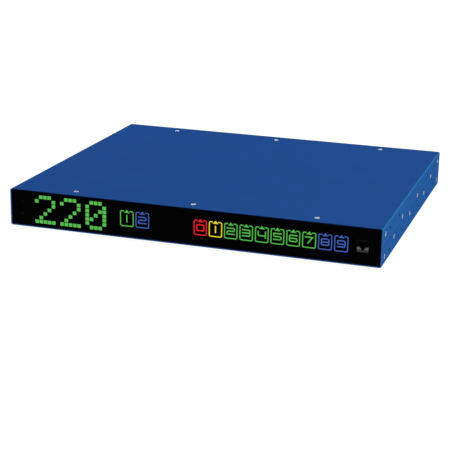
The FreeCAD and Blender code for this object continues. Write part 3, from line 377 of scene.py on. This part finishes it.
def soften(width, *names):
    """Rounds the edges of CAD pieces. Their loose triangles are welded first."""
    for name in names:
        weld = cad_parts[name].modifiers.new("weld", "WELD")
        weld.merge_threshold = MERGE_DISTANCE
        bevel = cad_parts[name].modifiers.new("edges", "BEVEL")
        bevel.width = width
        bevel.segments = EDGE_SEGMENTS
        bevel.limit_method = "ANGLE"
        bevel.angle_limit = EDGE_ANGLE
        bevel.use_clamp_overlap = False


outlets = sorted(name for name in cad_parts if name[:7] == "outlet_" and name[7:].isdigit())
connector_plastic, connector_shader = make_finish(
    "connector_plastic", linear(55, 66, 92), shade=0.12, rough=(0.45, 0.65), cloud=90, grain=3000, bump=0.4)
connector_shader.inputs["Specular IOR Level"].default_value = 0.15
dress(connector_plastic, *outlets)
soften(MOULDING_ROUND, *outlets)


# Outlet contacts, links and earth strap
# Springy brass strip, cut and folded to a U behind each slot, and bent to an L between the boards.
brass, brass_shader = make_finish(
    "rolled_brass", linear(150, 128, 88), shade=0.12, rough=(0.3, 0.45), cloud=200, grain=2500, bump=0.1)
brass_shader.inputs["Metallic"].default_value = 1.0
dress(brass, "outlet_contacts", "board_links", "earth_strap")


# Inlets and their blades
# Two moulded inlets turned on end, of the same plastic as the outlets, snapped into the rear panel.
# Three nickel-plated flat pins stand through the floor of each well.
BLADE_ROUND = 0.00025
nickel, nickel_shader = make_finish(
    "nickel_plate", linear(150, 150, 156), shade=0.08, rough=(0.25, 0.4), cloud=150, grain=2000, bump=0.08)
nickel_shader.inputs["Metallic"].default_value = 1.0
dress(connector_plastic, "inlet_1", "inlet_2")
dress(nickel, "inlet_blades")
soften(MOULDING_ROUND, "inlet_1", "inlet_2")
soften(BLADE_ROUND, "inlet_blades")


# Light pipes and the lamps behind them
# Clear rods with a domed end, pushed into the rear panel over the outlets.
# Each carries the light of a small lamp on the connector board to the outside.
PIPE_DOME = 0.00045
DOME_SEGMENTS = 4
clear_plastic, _ = make_finish(
    "clear_plastic", linear(122, 168, 208), shade=0.1, rough=(0.1, 0.2), cloud=400, grain=1500, bump=0.05)
lamp_resin, _ = make_finish(
    "lamp_resin", linear(226, 226, 214), shade=0.05, rough=(0.3, 0.4), cloud=300, grain=1500, bump=0.1)


def make_pipe(radius, length):
    """Rod along Z from zero, with a domed upper end."""
    pipe = bmesh.new()
    bmesh.ops.create_circle(pipe, cap_ends=True, radius=radius, segments=HEAD_SEGMENTS)
    geometry = bmesh.ops.extrude_face_region(pipe, geom=list(pipe.faces))["geom"]
    verts = [item for item in geometry if isinstance(item, bmesh.types.BMVert)]
    bmesh.ops.translate(pipe, verts=verts, vec=(0, 0, length))
    rim = [edge for edge in pipe.edges if all(vert in verts for vert in edge.verts)]
    bmesh.ops.bevel(
        pipe, geom=rim, offset=PIPE_DOME, segments=DOME_SEGMENTS, profile=0.5, affect="EDGES", material=-1)
    return pipe


pipe_boxes = solids("light_pipes")
pipe_low, pipe_high = pipe_boxes[0]
pipe_radius = (pipe_high.z - pipe_low.z) / 2
pipe_places = []
for low, high in pipe_boxes:
    foot = Vector(((low.x + high.x) / 2, low.y, (low.z + high.z) / 2))
    pipe_places.append(Matrix.Translation(foot) @ Matrix.Rotation(-math.pi / 2, 4, "X"))
pipes = make_piece(
    "domed_light_pipes", gather(make_pipe(pipe_radius, pipe_high.y - pipe_low.y), pipe_places),
    clear_plastic)
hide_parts("light_pipes")
dress(lamp_resin, "outlet_lamps")


# Front window
# One plate of smoked black acrylic, polished in front, behind which the lamps and digits shine.
# It stands just inside the front edges of the case, on the folded frame.
window_black, window_shader = make_finish(
    "smoked_acrylic", (0.0003, 0.0003, 0.0004, 1), shade=0.3, rough=(0.12, 0.2), cloud=20, grain=300,
    bump=0.02)
window_shader.inputs["Specular IOR Level"].default_value = 0.006
dress(window_black, "front_window")


# Lit digits
# Three dot matrices of five by seven show the mains voltage through the window.
# Each lit dot is a soft-cornered green field with a brighter middle.
SHOWN_VOLTAGE = "220"
DOT_FILL = 0.85
DOT_CORNER = 0.0004
DOT_BRIGHT_REACH = 0.1
DOT_DIM_REACH = 0.62
INK_THICK = 0.00005
DOT_ROWS = {
    "2": (".###.", "#...#", "....#", "...#.", "..#..", ".#...", "#####"),
    "0": (".###.", "#...#", "#..##", "#.#.#", "##..#", "#...#", ".###."),
}
window_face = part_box("front_window")[0].y
digit_boxes = solids("digit_matrices")
digit_size = digit_boxes[0][1] - digit_boxes[0][0]
dot_wide = digit_size.x / len(DOT_ROWS["0"][0])
dot_high = digit_size.z / len(DOT_ROWS["0"])


def make_glow(name, colour, dim=0.8):
    """Lit field: dark plastic that shines in its colour, a little brighter in patches."""
    material, shader = make_finish(name, linear(6, 6, 6), rough=(0.3, 0.4), cloud=160, grain=800, bump=0.02)
    shader.inputs["Specular IOR Level"].default_value = 0.04
    shader.inputs["Emission Strength"].default_value = 1.0
    nodes = material.node_tree.nodes
    light = nodes.new("ShaderNodeMix")
    light.data_type = "RGBA"
    light.inputs["A"].default_value = [level * dim for level in colour[:3]] + [1]
    light.inputs["B"].default_value = colour
    links = material.node_tree.links
    links.new(nodes["Group"].outputs["Cloud"], light.inputs["Factor"])
    links.new(light.outputs["Result"], shader.inputs["Emission Color"])
    return material, light


def light_middles(material, light, corner):
    """Makes each dot of the matrix brightest in its middle. The dots lie on one even grid."""
    nodes = material.node_tree.nodes
    links = material.node_tree.links
    place = nodes.new("ShaderNodeTexCoord")
    grid = nodes.new("ShaderNodeMapping")
    grid.vector_type = "TEXTURE"
    grid.inputs["Location"].default_value = corner
    grid.inputs["Scale"].default_value = (dot_wide, 1, dot_high)
    within = nodes.new("ShaderNodeVectorMath")
    within.operation = "FRACTION"
    centred = nodes.new("ShaderNodeVectorMath")
    centred.operation = "SUBTRACT"
    centred.inputs[1].default_value = (0.5, 0, 0.5)
    flat = nodes.new("ShaderNodeVectorMath")
    flat.operation = "MULTIPLY"
    flat.inputs[1].default_value = (1, 0, 1)
    reach = nodes.new("ShaderNodeVectorMath")
    reach.operation = "LENGTH"
    fade = nodes.new("ShaderNodeMapRange")
    fade.inputs["From Min"].default_value = DOT_DIM_REACH
    fade.inputs["From Max"].default_value = DOT_BRIGHT_REACH
    links.new(place.outputs["Object"], grid.inputs["Vector"])
    links.new(grid.outputs["Vector"], within.inputs[0])
    links.new(within.outputs["Vector"], centred.inputs[0])
    links.new(centred.outputs["Vector"], flat.inputs[0])
    links.new(flat.outputs["Vector"], reach.inputs[0])
    links.new(reach.outputs["Value"], fade.inputs["Value"])
    links.new(fade.outputs["Result"], light.inputs["Factor"])


def make_dot():
    """Soft-cornered plate on the window, facing the front, about the origin."""
    dot = bmesh.new()
    bmesh.ops.create_grid(dot, x_segments=1, y_segments=1, size=0.5)
    bmesh.ops.scale(dot, verts=dot.verts, vec=(DOT_FILL * dot_wide, DOT_FILL * dot_high, 1))
    bmesh.ops.bevel(
        dot, geom=list(dot.verts), offset=DOT_CORNER, segments=2, profile=0.5, affect="VERTICES",
        material=-1)
    geometry = bmesh.ops.extrude_face_region(dot, geom=list(dot.faces))["geom"]
    verts = [item for item in geometry if isinstance(item, bmesh.types.BMVert)]
    bmesh.ops.translate(dot, verts=verts, vec=(0, 0, INK_THICK))
    bmesh.ops.rotate(dot, verts=dot.verts, matrix=Matrix.Rotation(math.pi / 2, 3, "X"))
    return dot


dot_places = []
for numeral, (low, high) in zip(SHOWN_VOLTAGE, digit_boxes):
    for row, pattern in enumerate(DOT_ROWS[numeral]):
        for column, mark in enumerate(pattern):
            if mark == "#":
                x = low.x + (column + 0.5) * dot_wide
                z = high.z - (row + 0.5) * dot_high
                dot_places.append(Matrix.Translation((x, window_face, z)))
dot_glow, dot_light = make_glow("green_dots", linear(90, 190, 82), dim=0.82)
light_middles(dot_glow, dot_light, (digit_boxes[0][0].x, 0, digit_boxes[0][0].z))
make_piece("lit_digit_dots", gather(make_dot(), dot_places), dot_glow)


# Channel icons
# A field for each inlet and outlet, masked in the window's backing: a rounded frame, broken at the top
# by an arrowhead, with the channel's number in it. The colour tells the channel's state.
FRAME_STROKE = 0.00115
NUMBER_STROKE = 0.00135
FRAME_CORNER = 0.0016
NUMBER_CORNER = 0.0013
CORNER_SEGMENTS = 4
ARROW_WIDE = 0.0069
ARROW_HIGH = 0.0035
ARROW_RISE = 0.0009
BREAK_SHARE = 0.4
NUMBER_WIDE_SHARE = 0.62
NUMBER_HIGH_SHARE = 0.46
NUMBER_RISE_SHARE = 0.265
NUMBERS = {
    "0": [[(0, 0), (1, 0), (1, 1), (0, 1), (0, 0)]],
    "1": [[(0.5, 0), (0.5, 1)]],
    "2": [[(0, 1), (1, 1), (1, 0.5), (0, 0.5), (0, 0), (1, 0)]],
    "3": [[(0, 1), (1, 1), (1, 0.5), (0, 0.5)], [(0.8, 0.5), (1, 0.5), (1, 0), (0, 0)]],
    "4": [[(0, 1), (0, 0.33), (1, 0.33)], [(1, 1), (1, 0)]],
    "5": [[(1, 1), (0, 1), (0, 0.5), (1, 0.5), (1, 0), (0, 0)]],
    "6": [[(1, 1), (0, 1), (0, 0), (1, 0), (1, 0.5), (0, 0.5)]],
    "7": [[(0, 1), (0.95, 1), (0.35, 0)]],
    "8": [
        [(0, 0.5), (1, 0.5), (1, 1), (0, 1), (0, 0.5)],
        [(0.2, 0.5), (0, 0.5), (0, 0), (1, 0), (1, 0.5), (0.8, 0.5)]],
    "9": [[(0, 0), (1, 0), (1, 1), (0, 1), (0, 0.46), (1, 0.46)]],
}
SQUARE_CORNERS = {"2": [(0, 0)], "5": [(0, 1)], "7": [(0.95, 1)]}


def add_route(lines, points, corner, reach):
    """Wire through points of the window's face. It closes on a repeated point.

    Each point tells with its third value whether the corner there is rounded.
    An open wire reaches past its end points, as far as a stroke's edge lies from its middle.
    """
    closed = points[0] == points[-1]
    route = points[:-1] if closed else points
    verts = [lines.verts.new((x, 0, z)) for x, z, _ in route]
    if not closed:
        for end, neighbour in ((verts[0], verts[1]), (verts[-1], verts[-2])):
            end.co += (end.co - neighbour.co).normalized() * reach
    ends = zip(verts, verts[1:] + verts[:1]) if closed else zip(verts, verts[1:])
    for pair in ends:
        lines.edges.new(pair)
    bends = [vert for vert, (_, _, rounded) in zip(verts, route) if rounded and len(vert.link_edges) == 2]
    if bends:
        bmesh.ops.bevel(
            lines, geom=bends, offset=corner, segments=CORNER_SEGMENTS, profile=0.5, affect="VERTICES",
            material=-1)


def stroked(routes, width, corner):
    """Mesh of stripes of one width along the routes, as thick as the ink."""
    lines = bmesh.new()
    for points in routes:
        add_route(lines, points, corner, width / 2)
    edges = bmesh.ops.extrude_edge_only(lines, edges=list(lines.edges))["geom"]
    verts = [item for item in edges if isinstance(item, bmesh.types.BMVert)]
    bmesh.ops.translate(lines, verts=verts, vec=(0, -INK_THICK, 0))
    bmesh.ops.recalc_face_normals(lines, faces=lines.faces)
    mesh = bpy.data.meshes.new("stroke")
    lines.to_mesh(mesh)
    lines.free()
    band = bpy.data.objects.new("stroke", mesh)
    bpy.context.scene.collection.objects.link(band)
    stroke = band.modifiers.new("stroke", "SOLIDIFY")
    stroke.thickness = width
    stroke.offset = 0
    stroke.use_even_offset = True
    whole = bpy.data.meshes.new_from_object(band.evaluated_get(bpy.context.evaluated_depsgraph_get()))
    bpy.data.objects.remove(band)
    bpy.data.meshes.remove(mesh)
    return whole


def make_icon(name, number, centre, low, size, colour):
    """Frame, arrowhead and number over a point of the window's face."""
    wide, high = size
    icon = bmesh.new()
    half = (wide - FRAME_STROKE) / 2
    top = high - FRAME_STROKE / 2
    base = FRAME_STROKE / 2
    gap = (BREAK_SHARE * wide + FRAME_STROKE) / 2
    border = [(-gap, top), (-half, top), (-half, base), (half, base), (half, top), (gap, top)]
    border = [(x, z, True) for x, z in border]
    number_wide = NUMBER_WIDE_SHARE * wide - NUMBER_STROKE
    number_high = NUMBER_HIGH_SHARE * high - NUMBER_STROKE
    number_low = NUMBER_RISE_SHARE * high + NUMBER_STROKE / 2
    square = SQUARE_CORNERS.get(number, [])
    routes = []
    for points in NUMBERS[number]:
        route = []
        for x, z in points:
            route.append(((x - 0.5) * number_wide, number_low + z * number_high, (x, z) not in square))
        routes.append(route)
    parts = [stroked([border], FRAME_STROKE, FRAME_CORNER), stroked(routes, NUMBER_STROKE, NUMBER_CORNER)]
    for part in parts:
        icon.from_mesh(part)
        bpy.data.meshes.remove(part)
    arrow = bmesh.ops.create_circle(icon, cap_ends=True, radius=1, segments=3)["verts"]
    bmesh.ops.transform(icon, matrix=Matrix.Rotation(math.pi / 2, 4, "X"), verts=arrow)
    lowest = min(vert.co.z for vert in arrow)
    bmesh.ops.translate(icon, verts=arrow, vec=(0, 0, -lowest))
    triangle_wide = math.sqrt(3)
    triangle_high = triangle_wide * triangle_wide / 2
    bmesh.ops.scale(icon, verts=arrow, vec=(ARROW_WIDE / triangle_wide, 1, ARROW_HIGH / triangle_high))
    bmesh.ops.translate(icon, verts=arrow, vec=(0, 0, high + ARROW_RISE - ARROW_HIGH))
    faces = list({face for vert in arrow for face in vert.link_faces})
    geometry = bmesh.ops.extrude_face_region(icon, geom=faces)["geom"]
    raised = [item for item in geometry if isinstance(item, bmesh.types.BMVert)]
    bmesh.ops.translate(icon, verts=raised, vec=(0, -INK_THICK, 0))
    bmesh.ops.translate(icon, verts=icon.verts, vec=(centre, window_face, low))
    make_piece(name, icon, glows[colour])


glows = {
    "green": make_glow("green_ink", linear(88, 190, 80))[0],
    "blue": make_glow("blue_ink", linear(66, 98, 182))[0],
    "red": make_glow("red_ink", linear(237, 32, 42))[0],
    "yellow": make_glow("yellow_ink", linear(243, 222, 50))[0],
}
MASK_WALL = 0.001
INPUT_ICON_SIZE = (0.0165, 0.0186)
OUTPUT_ICON_SIZE = (0.0156, 0.018)
INPUT_ICON_RISE = 0.002
OUTPUT_ICON_RISE = 0.00157
INPUT_COLOURS = ["green", "blue"]
OUTPUT_COLOURS = ["red", "yellow"] + ["green"] * 6 + ["blue"] * 2


def make_icon_row(name, first, mask, rise, size, colours):
    """A row of icons, one over each cell of a light mask, numbered from the first."""
    low, high = mask
    pitch = (high.x - low.x - MASK_WALL) / len(colours)
    for step, colour in enumerate(colours):
        number = str(first + step)
        centre = low.x + MASK_WALL / 2 + (step + 0.5) * pitch
        make_icon(name + number, number, centre, low.z + rise, size, colour)


input_mask, output_mask = solids("icon_light_masks")
make_icon_row("input_icon_", 1, input_mask, INPUT_ICON_RISE, INPUT_ICON_SIZE, INPUT_COLOURS)
make_icon_row("output_icon_", 0, output_mask, OUTPUT_ICON_RISE, OUTPUT_ICON_SIZE, OUTPUT_COLOURS)


# Network jack
# A black moulded body on the control board's edge, open to the front through the window. Its face has
# painted
# light: grey below the cavity, a painted highlight on the shoulders beside the clip's notch, painted shade
# round the cavity. Its sprung pins are brass, painted near black for the shade inside the cavity.
# Painted light and shade from the bottom up: grey below the cavity, a painted highlight on the shoulders,
# painted shade above.
JACK_LIGHT_AND_SHADE = [
    (0.0, linear(56, 59, 60)),
    (0.16, linear(58, 60, 60)),
    (0.28, linear(112, 107, 105)),
    (0.38, linear(108, 103, 102)),
    (0.43, linear(70, 68, 68)),
    (0.46, linear(10, 12, 13)),
    (1.0, linear(16, 18, 19)),
]
JACK_LIT_DEPTH = 0.0012
JACK_LIT_WIDTH = 0.85
JACK_ROUND = 0.0002
jack_plastic, jack_shader = make_finish(
    "jack_plastic", linear(9, 11, 12), shade=0.15, rough=(0.4, 0.6), cloud=250, grain=2500, bump=0.3)
jack_shader.inputs["Specular IOR Level"].default_value = 0.03


def paint_jack_light_and_shade(material, shader, low, high):
    """Paints light and shade by height on the jack's face. They fade out into the cavity and at the sides.
    """
    nodes = material.node_tree.nodes
    links = material.node_tree.links
    place = nodes.new("ShaderNodeTexCoord")
    fitted = nodes.new("ShaderNodeMapping")
    fitted.vector_type = "TEXTURE"
    fitted.inputs["Location"].default_value = ((low.x + high.x) / 2, low.y, low.z)
    fitted.inputs["Scale"].default_value = ((high.x - low.x) / 2, JACK_LIT_DEPTH, high.z - low.z)
    parts = nodes.new("ShaderNodeSeparateXYZ")
    ramp = nodes.new("ShaderNodeValToRGB")
    while len(ramp.color_ramp.elements) < len(JACK_LIGHT_AND_SHADE):
        ramp.color_ramp.elements.new(0.5)
    for element, (position, colour) in zip(ramp.color_ramp.elements, JACK_LIGHT_AND_SHADE):
        element.position = position
        element.color = colour
    links.new(place.outputs["Object"], fitted.inputs["Vector"])
    links.new(fitted.outputs["Vector"], parts.inputs["Vector"])
    links.new(parts.outputs["Z"], ramp.inputs["Fac"])
    face = masked(nodes, links, (parts.outputs["Y"], parts.outputs["Y"]), 1, 0)
    middle = masked(nodes, links, (parts.outputs["X"], parts.outputs["X"]), 1, JACK_LIT_WIDTH ** 2)
    lit = masked(nodes, links, (face, middle), 0, 1)
    tone = nodes.new("ShaderNodeMix")
    tone.data_type = "RGBA"
    links.new(lit, tone.inputs["Factor"])
    links.new(shader.inputs["Base Color"].links[0].from_socket, tone.inputs["A"])
    links.new(ramp.outputs["Color"], tone.inputs["B"])
    links.new(tone.outputs["Result"], shader.inputs["Base Color"])


jack_low, jack_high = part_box("network_jack")
# The jack's black moulding gets painted light and shade.
paint_jack_light_and_shade(jack_plastic, jack_shader, jack_low, jack_high)
dress(jack_plastic, "network_jack")
# The pins' brass is painted near black, for the shade inside the cavity.
pin_brass_in_shade, pin_shader = make_finish(
    "shaded_pin_brass", linear(16, 13, 9), shade=0.2, rough=(0.4, 0.55), cloud=500, grain=3000, bump=0.1)
pin_shader.inputs["Metallic"].default_value = 1.0
dress(pin_brass_in_shade, "jack_contacts")
soften(JACK_ROUND, "network_jack")


# Pin-hole buttons
# Two slim moulded plungers behind holes in the window, each guided by the switch that it presses.
# A collar keeps each one behind the window.
button_plastic, button_shader = make_finish(
    "button_plastic", linear(29, 35, 47), shade=0.1, rough=(0.35, 0.5), cloud=400, grain=3000, bump=0.2)
button_shader.inputs["Specular IOR Level"].default_value = 0.05
dress(button_plastic, "upper_button", "lower_button")


# Display stack behind the window
# Moulded dot matrices, small lamps and white light masks stand on the display board, behind the window.
# The masks keep the light of one icon's lamp from its neighbour.
matrix_plastic, _ = make_finish(
    "matrix_plastic", linear(40, 42, 44), shade=0.1, rough=(0.4, 0.55), cloud=150, grain=2000, bump=0.2)
mask_plastic, _ = make_finish(
    "mask_plastic", linear(216, 216, 210), shade=0.05, rough=(0.45, 0.6), cloud=150, grain=2000, bump=0.2)
dress(matrix_plastic, "digit_matrices")
dress(mask_plastic, "icon_light_masks")
dress(lamp_resin, "icon_lamps")


# Circuit boards
# Glass laminate under green solder mask, with copper tracks that show through it as lighter lines.
# The upright ones carry the connectors and the display, and the flat ones stand on posts.
TRACK_SCALE = 90
TRACK_WIDTH = 0.03
TRACK_SHARE = 0.6


def add_tracks(material, shader):
    """Lays lighter tracks over a board's colour."""
    nodes = material.node_tree.nodes
    links = material.node_tree.links
    place = nodes.new("ShaderNodeTexCoord")
    tracks = nodes.new("ShaderNodeTexBrick")
    tracks.inputs["Scale"].default_value = TRACK_SCALE
    tracks.inputs["Mortar Size"].default_value = TRACK_WIDTH
    tracks.inputs["Color1"].default_value = linear(20, 70, 42)
    tracks.inputs["Color2"].default_value = linear(24, 80, 46)
    tracks.inputs["Mortar"].default_value = linear(52, 120, 70)
    blend = nodes.new("ShaderNodeMix")
    blend.data_type = "RGBA"
    blend.inputs["Factor"].default_value = TRACK_SHARE
    under = shader.inputs["Base Color"].links[0].from_socket
    links.new(place.outputs["Object"], tracks.inputs["Vector"])
    links.new(under, blend.inputs["A"])
    links.new(tracks.outputs["Color"], blend.inputs["B"])
    links.new(blend.outputs["Result"], shader.inputs["Base Color"])


board_mask, board_shader = make_finish(
    "solder_mask", linear(26, 84, 48), shade=0.1, rough=(0.25, 0.4), cloud=80, grain=1200, bump=0.1)
add_tracks(board_mask, board_shader)
dress(board_mask, "display_board", "connector_board", "power_board", "control_board")


# Pieces on the boards
# Relays in blue cases, dipped capacitors, sleeved capacitors, wound chokes and moulded black parts.
# All are soldered to the boards, and the coin cell is pressed into its holder.
relay_case, _ = make_finish(
    "relay_case", linear(38, 60, 108), shade=0.08, rough=(0.25, 0.4), cloud=100, grain=1500, bump=0.1)
moulded_black, _ = make_finish(
    "moulded_black", linear(30, 30, 32), shade=0.12, rough=(0.45, 0.6), cloud=150, grain=2500, bump=0.3)
choke_core, _ = make_finish(
    "choke_core", linear(64, 58, 52), shade=0.2, rough=(0.5, 0.7), cloud=200, grain=1800, bump=0.4)
dipped_resin, _ = make_finish(
    "dipped_resin", linear(198, 166, 44), shade=0.08, rough=(0.2, 0.35), cloud=120, grain=900, bump=0.15)
shrink_sleeve, _ = make_finish(
    "shrink_sleeve", linear(24, 30, 62), shade=0.08, rough=(0.2, 0.35), cloud=120, grain=1200, bump=0.1)
dress(relay_case, "outlet_relays", "transfer_relays")
dress(moulded_black, "power_supplies", "current_sensors", "processor", "memory_chips", "buzzer")
dress(moulded_black, "button_switches", "ribbon_sockets", "cell_holder")
dress(choke_core, "filter_chokes")
dress(dipped_resin, "suppressor_capacitors")
dress(shrink_sleeve, "backup_capacitors")
dress(zinc_plate, "coin_cell")


# Ribbons
# Flat grey ribbon cables, pressed into sockets on the boards.
# One joins the display board to the control board, and one goes over to the power board.
ribbon_grey, _ = make_finish(
    "ribbon_grey", linear(150, 152, 154), shade=0.08, rough=(0.45, 0.6), cloud=200, grain=1500, bump=0.2)
dress(ribbon_grey, "display_ribbon", "power_ribbon")


# Floor
# A plain white sheet that runs out of view on all sides. It looks white to the camera and in reflections,
# and it keeps the object's soft shadow.
FLOOR_REACH = 40
FLOOR_GLOW = 0.84
FLOOR_GREY = (0.8, 0.8, 0.8, 1)
SHADOW_GREY = (0.3, 0.3, 0.3, 1)


def add_view_mask(nodes, links):
    """Mask of the rays that the camera sends out, straight, off gloss or through glass."""
    path = nodes.new("ShaderNodeLightPath")
    straight_or_gloss = nodes.new("ShaderNodeMath")
    straight_or_gloss.operation = "ADD"
    any_view = nodes.new("ShaderNodeMath")
    any_view.operation = "ADD"
    any_view.use_clamp = True
    links.new(path.outputs["Is Camera Ray"], straight_or_gloss.inputs[0])
    links.new(path.outputs["Is Glossy Ray"], straight_or_gloss.inputs[1])
    links.new(straight_or_gloss.outputs["Value"], any_view.inputs[0])
    links.new(path.outputs["Is Transmission Ray"], any_view.inputs[1])
    return any_view.outputs["Value"]


floor_shape = bmesh.new()
bmesh.ops.create_grid(floor_shape, x_segments=1, y_segments=1, size=FLOOR_REACH)
floor_mesh = bpy.data.meshes.new("floor")
floor_shape.to_mesh(floor_mesh)
floor_shape.free()
floor = bpy.data.objects.new("floor", floor_mesh)
bpy.context.scene.collection.objects.link(floor)
floor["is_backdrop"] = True
white_sheet = bpy.data.materials.new("white_sheet")
white_sheet.use_nodes = True
sheet_nodes = white_sheet.node_tree.nodes
sheet_links = white_sheet.node_tree.links
sheet_nodes.remove(sheet_nodes["Principled BSDF"])
plain = sheet_nodes.new("ShaderNodeBsdfDiffuse")
plain.inputs["Color"].default_value = FLOOR_GREY
shaded = sheet_nodes.new("ShaderNodeBsdfDiffuse")
shaded.inputs["Color"].default_value = SHADOW_GREY
glow = sheet_nodes.new("ShaderNodeEmission")
glow.inputs["Strength"].default_value = FLOOR_GLOW
seen = sheet_nodes.new("ShaderNodeAddShader")
choice = sheet_nodes.new("ShaderNodeMixShader")
sheet_links.new(shaded.outputs["BSDF"], seen.inputs[0])
sheet_links.new(glow.outputs["Emission"], seen.inputs[1])
sheet_links.new(add_view_mask(sheet_nodes, sheet_links), choice.inputs["Fac"])
sheet_links.new(plain.outputs["BSDF"], choice.inputs[1])
sheet_links.new(seen.outputs["Shader"], choice.inputs[2])
sheet_links.new(choice.outputs["Shader"], sheet_nodes["Material Output"].inputs["Surface"])
floor_mesh.materials.append(white_sheet)


# Studio light
# An even surround that looks white, a large soft lamp from the right, and weaker ones from the left, the
# rear and the front. Together they light the object at a plain level.
SURROUND = 0.5
world = bpy.data.worlds.new("surround")
world.use_nodes = True
world_nodes = world.node_tree.nodes
world_links = world.node_tree.links
ambient = world_nodes["Background"]
ambient.inputs["Color"].default_value = (1, 1, 1, 1)
ambient.inputs["Strength"].default_value = SURROUND
backdrop = world_nodes.new("ShaderNodeBackground")
backdrop.inputs["Color"].default_value = (1, 1, 1, 1)
surround_choice = world_nodes.new("ShaderNodeMixShader")
world_links.new(add_view_mask(world_nodes, world_links), surround_choice.inputs["Fac"])
world_links.new(ambient.outputs["Background"], surround_choice.inputs[1])
world_links.new(backdrop.outputs["Background"], surround_choice.inputs[2])
world_links.new(surround_choice.outputs["Shader"], world_nodes["World Output"].inputs["Surface"])
bpy.context.scene.world = world


def add_lamp(name, place, size, power, colour=(1, 1, 1)):
    """Square lamp that faces the middle of the object."""
    data = bpy.data.lights.new(name, "AREA")
    data.size = size
    data.energy = power
    data.color = colour
    lamp = bpy.data.objects.new(name, data)
    bpy.context.scene.collection.objects.link(lamp)
    lamp.location = place
    lamp.rotation_euler = (-Vector(place)).to_track_quat("-Z", "Y").to_euler()


add_lamp("key_lamp", place=(2.2, -0.6, 0.75), size=1.4, power=38, colour=(0.73, 1.0, 0.7))
add_lamp("fill_lamp", place=(-2.0, 1.6, 1.4), size=1.4, power=11, colour=(1.0, 0.97, 1.0))
add_lamp("rear_lamp", place=(-0.3, 2.3, 0.35), size=1.4, power=30)
add_lamp("front_lamp", place=(-1.2, -2.0, 0.3), size=1.0, power=12)
bpy.context.scene.view_settings.view_transform = "Standard"


# Camera
# It stands to the right of the front and above it, at the photograph's angle and framing.
CAMERA_AZIMUTH = math.radians(17.991)
CAMERA_ELEVATION = math.radians(17.154)
CAMERA_ROLL = math.radians(1.005)
CAMERA_DISTANCE = 1.6139
CAMERA_RIGHT = -0.01626
CAMERA_UP = -0.02784
CAMERA_LENS = 103.25
case_middle = (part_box("upper_shell")[0].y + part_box("upper_shell")[1].y) / 2
back = Vector((
    math.sin(CAMERA_AZIMUTH) * math.cos(CAMERA_ELEVATION),
    -math.cos(CAMERA_AZIMUTH) * math.cos(CAMERA_ELEVATION),
    math.sin(CAMERA_ELEVATION)))
level = Vector((math.cos(CAMERA_AZIMUTH), math.sin(CAMERA_AZIMUTH), 0))
upright = back.cross(level)
right = level * math.cos(CAMERA_ROLL) + upright * math.sin(CAMERA_ROLL)
up = upright * math.cos(CAMERA_ROLL) - level * math.sin(CAMERA_ROLL)
camera_data = bpy.data.cameras.new("camera")
camera_data.lens = CAMERA_LENS
camera = bpy.data.objects.new("camera", camera_data)
bpy.context.scene.collection.objects.link(camera)
eye = back * CAMERA_DISTANCE + right * CAMERA_RIGHT + up * CAMERA_UP + Vector((0, case_middle, 0))
camera.matrix_world = Matrix.Translation(eye) @ Matrix((right, up, back)).transposed().to_4x4()
bpy.context.scene.camera = camera


# Boxes of the solids and of the dressed object
boxes = {"cad": cad_box, "visual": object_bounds()}
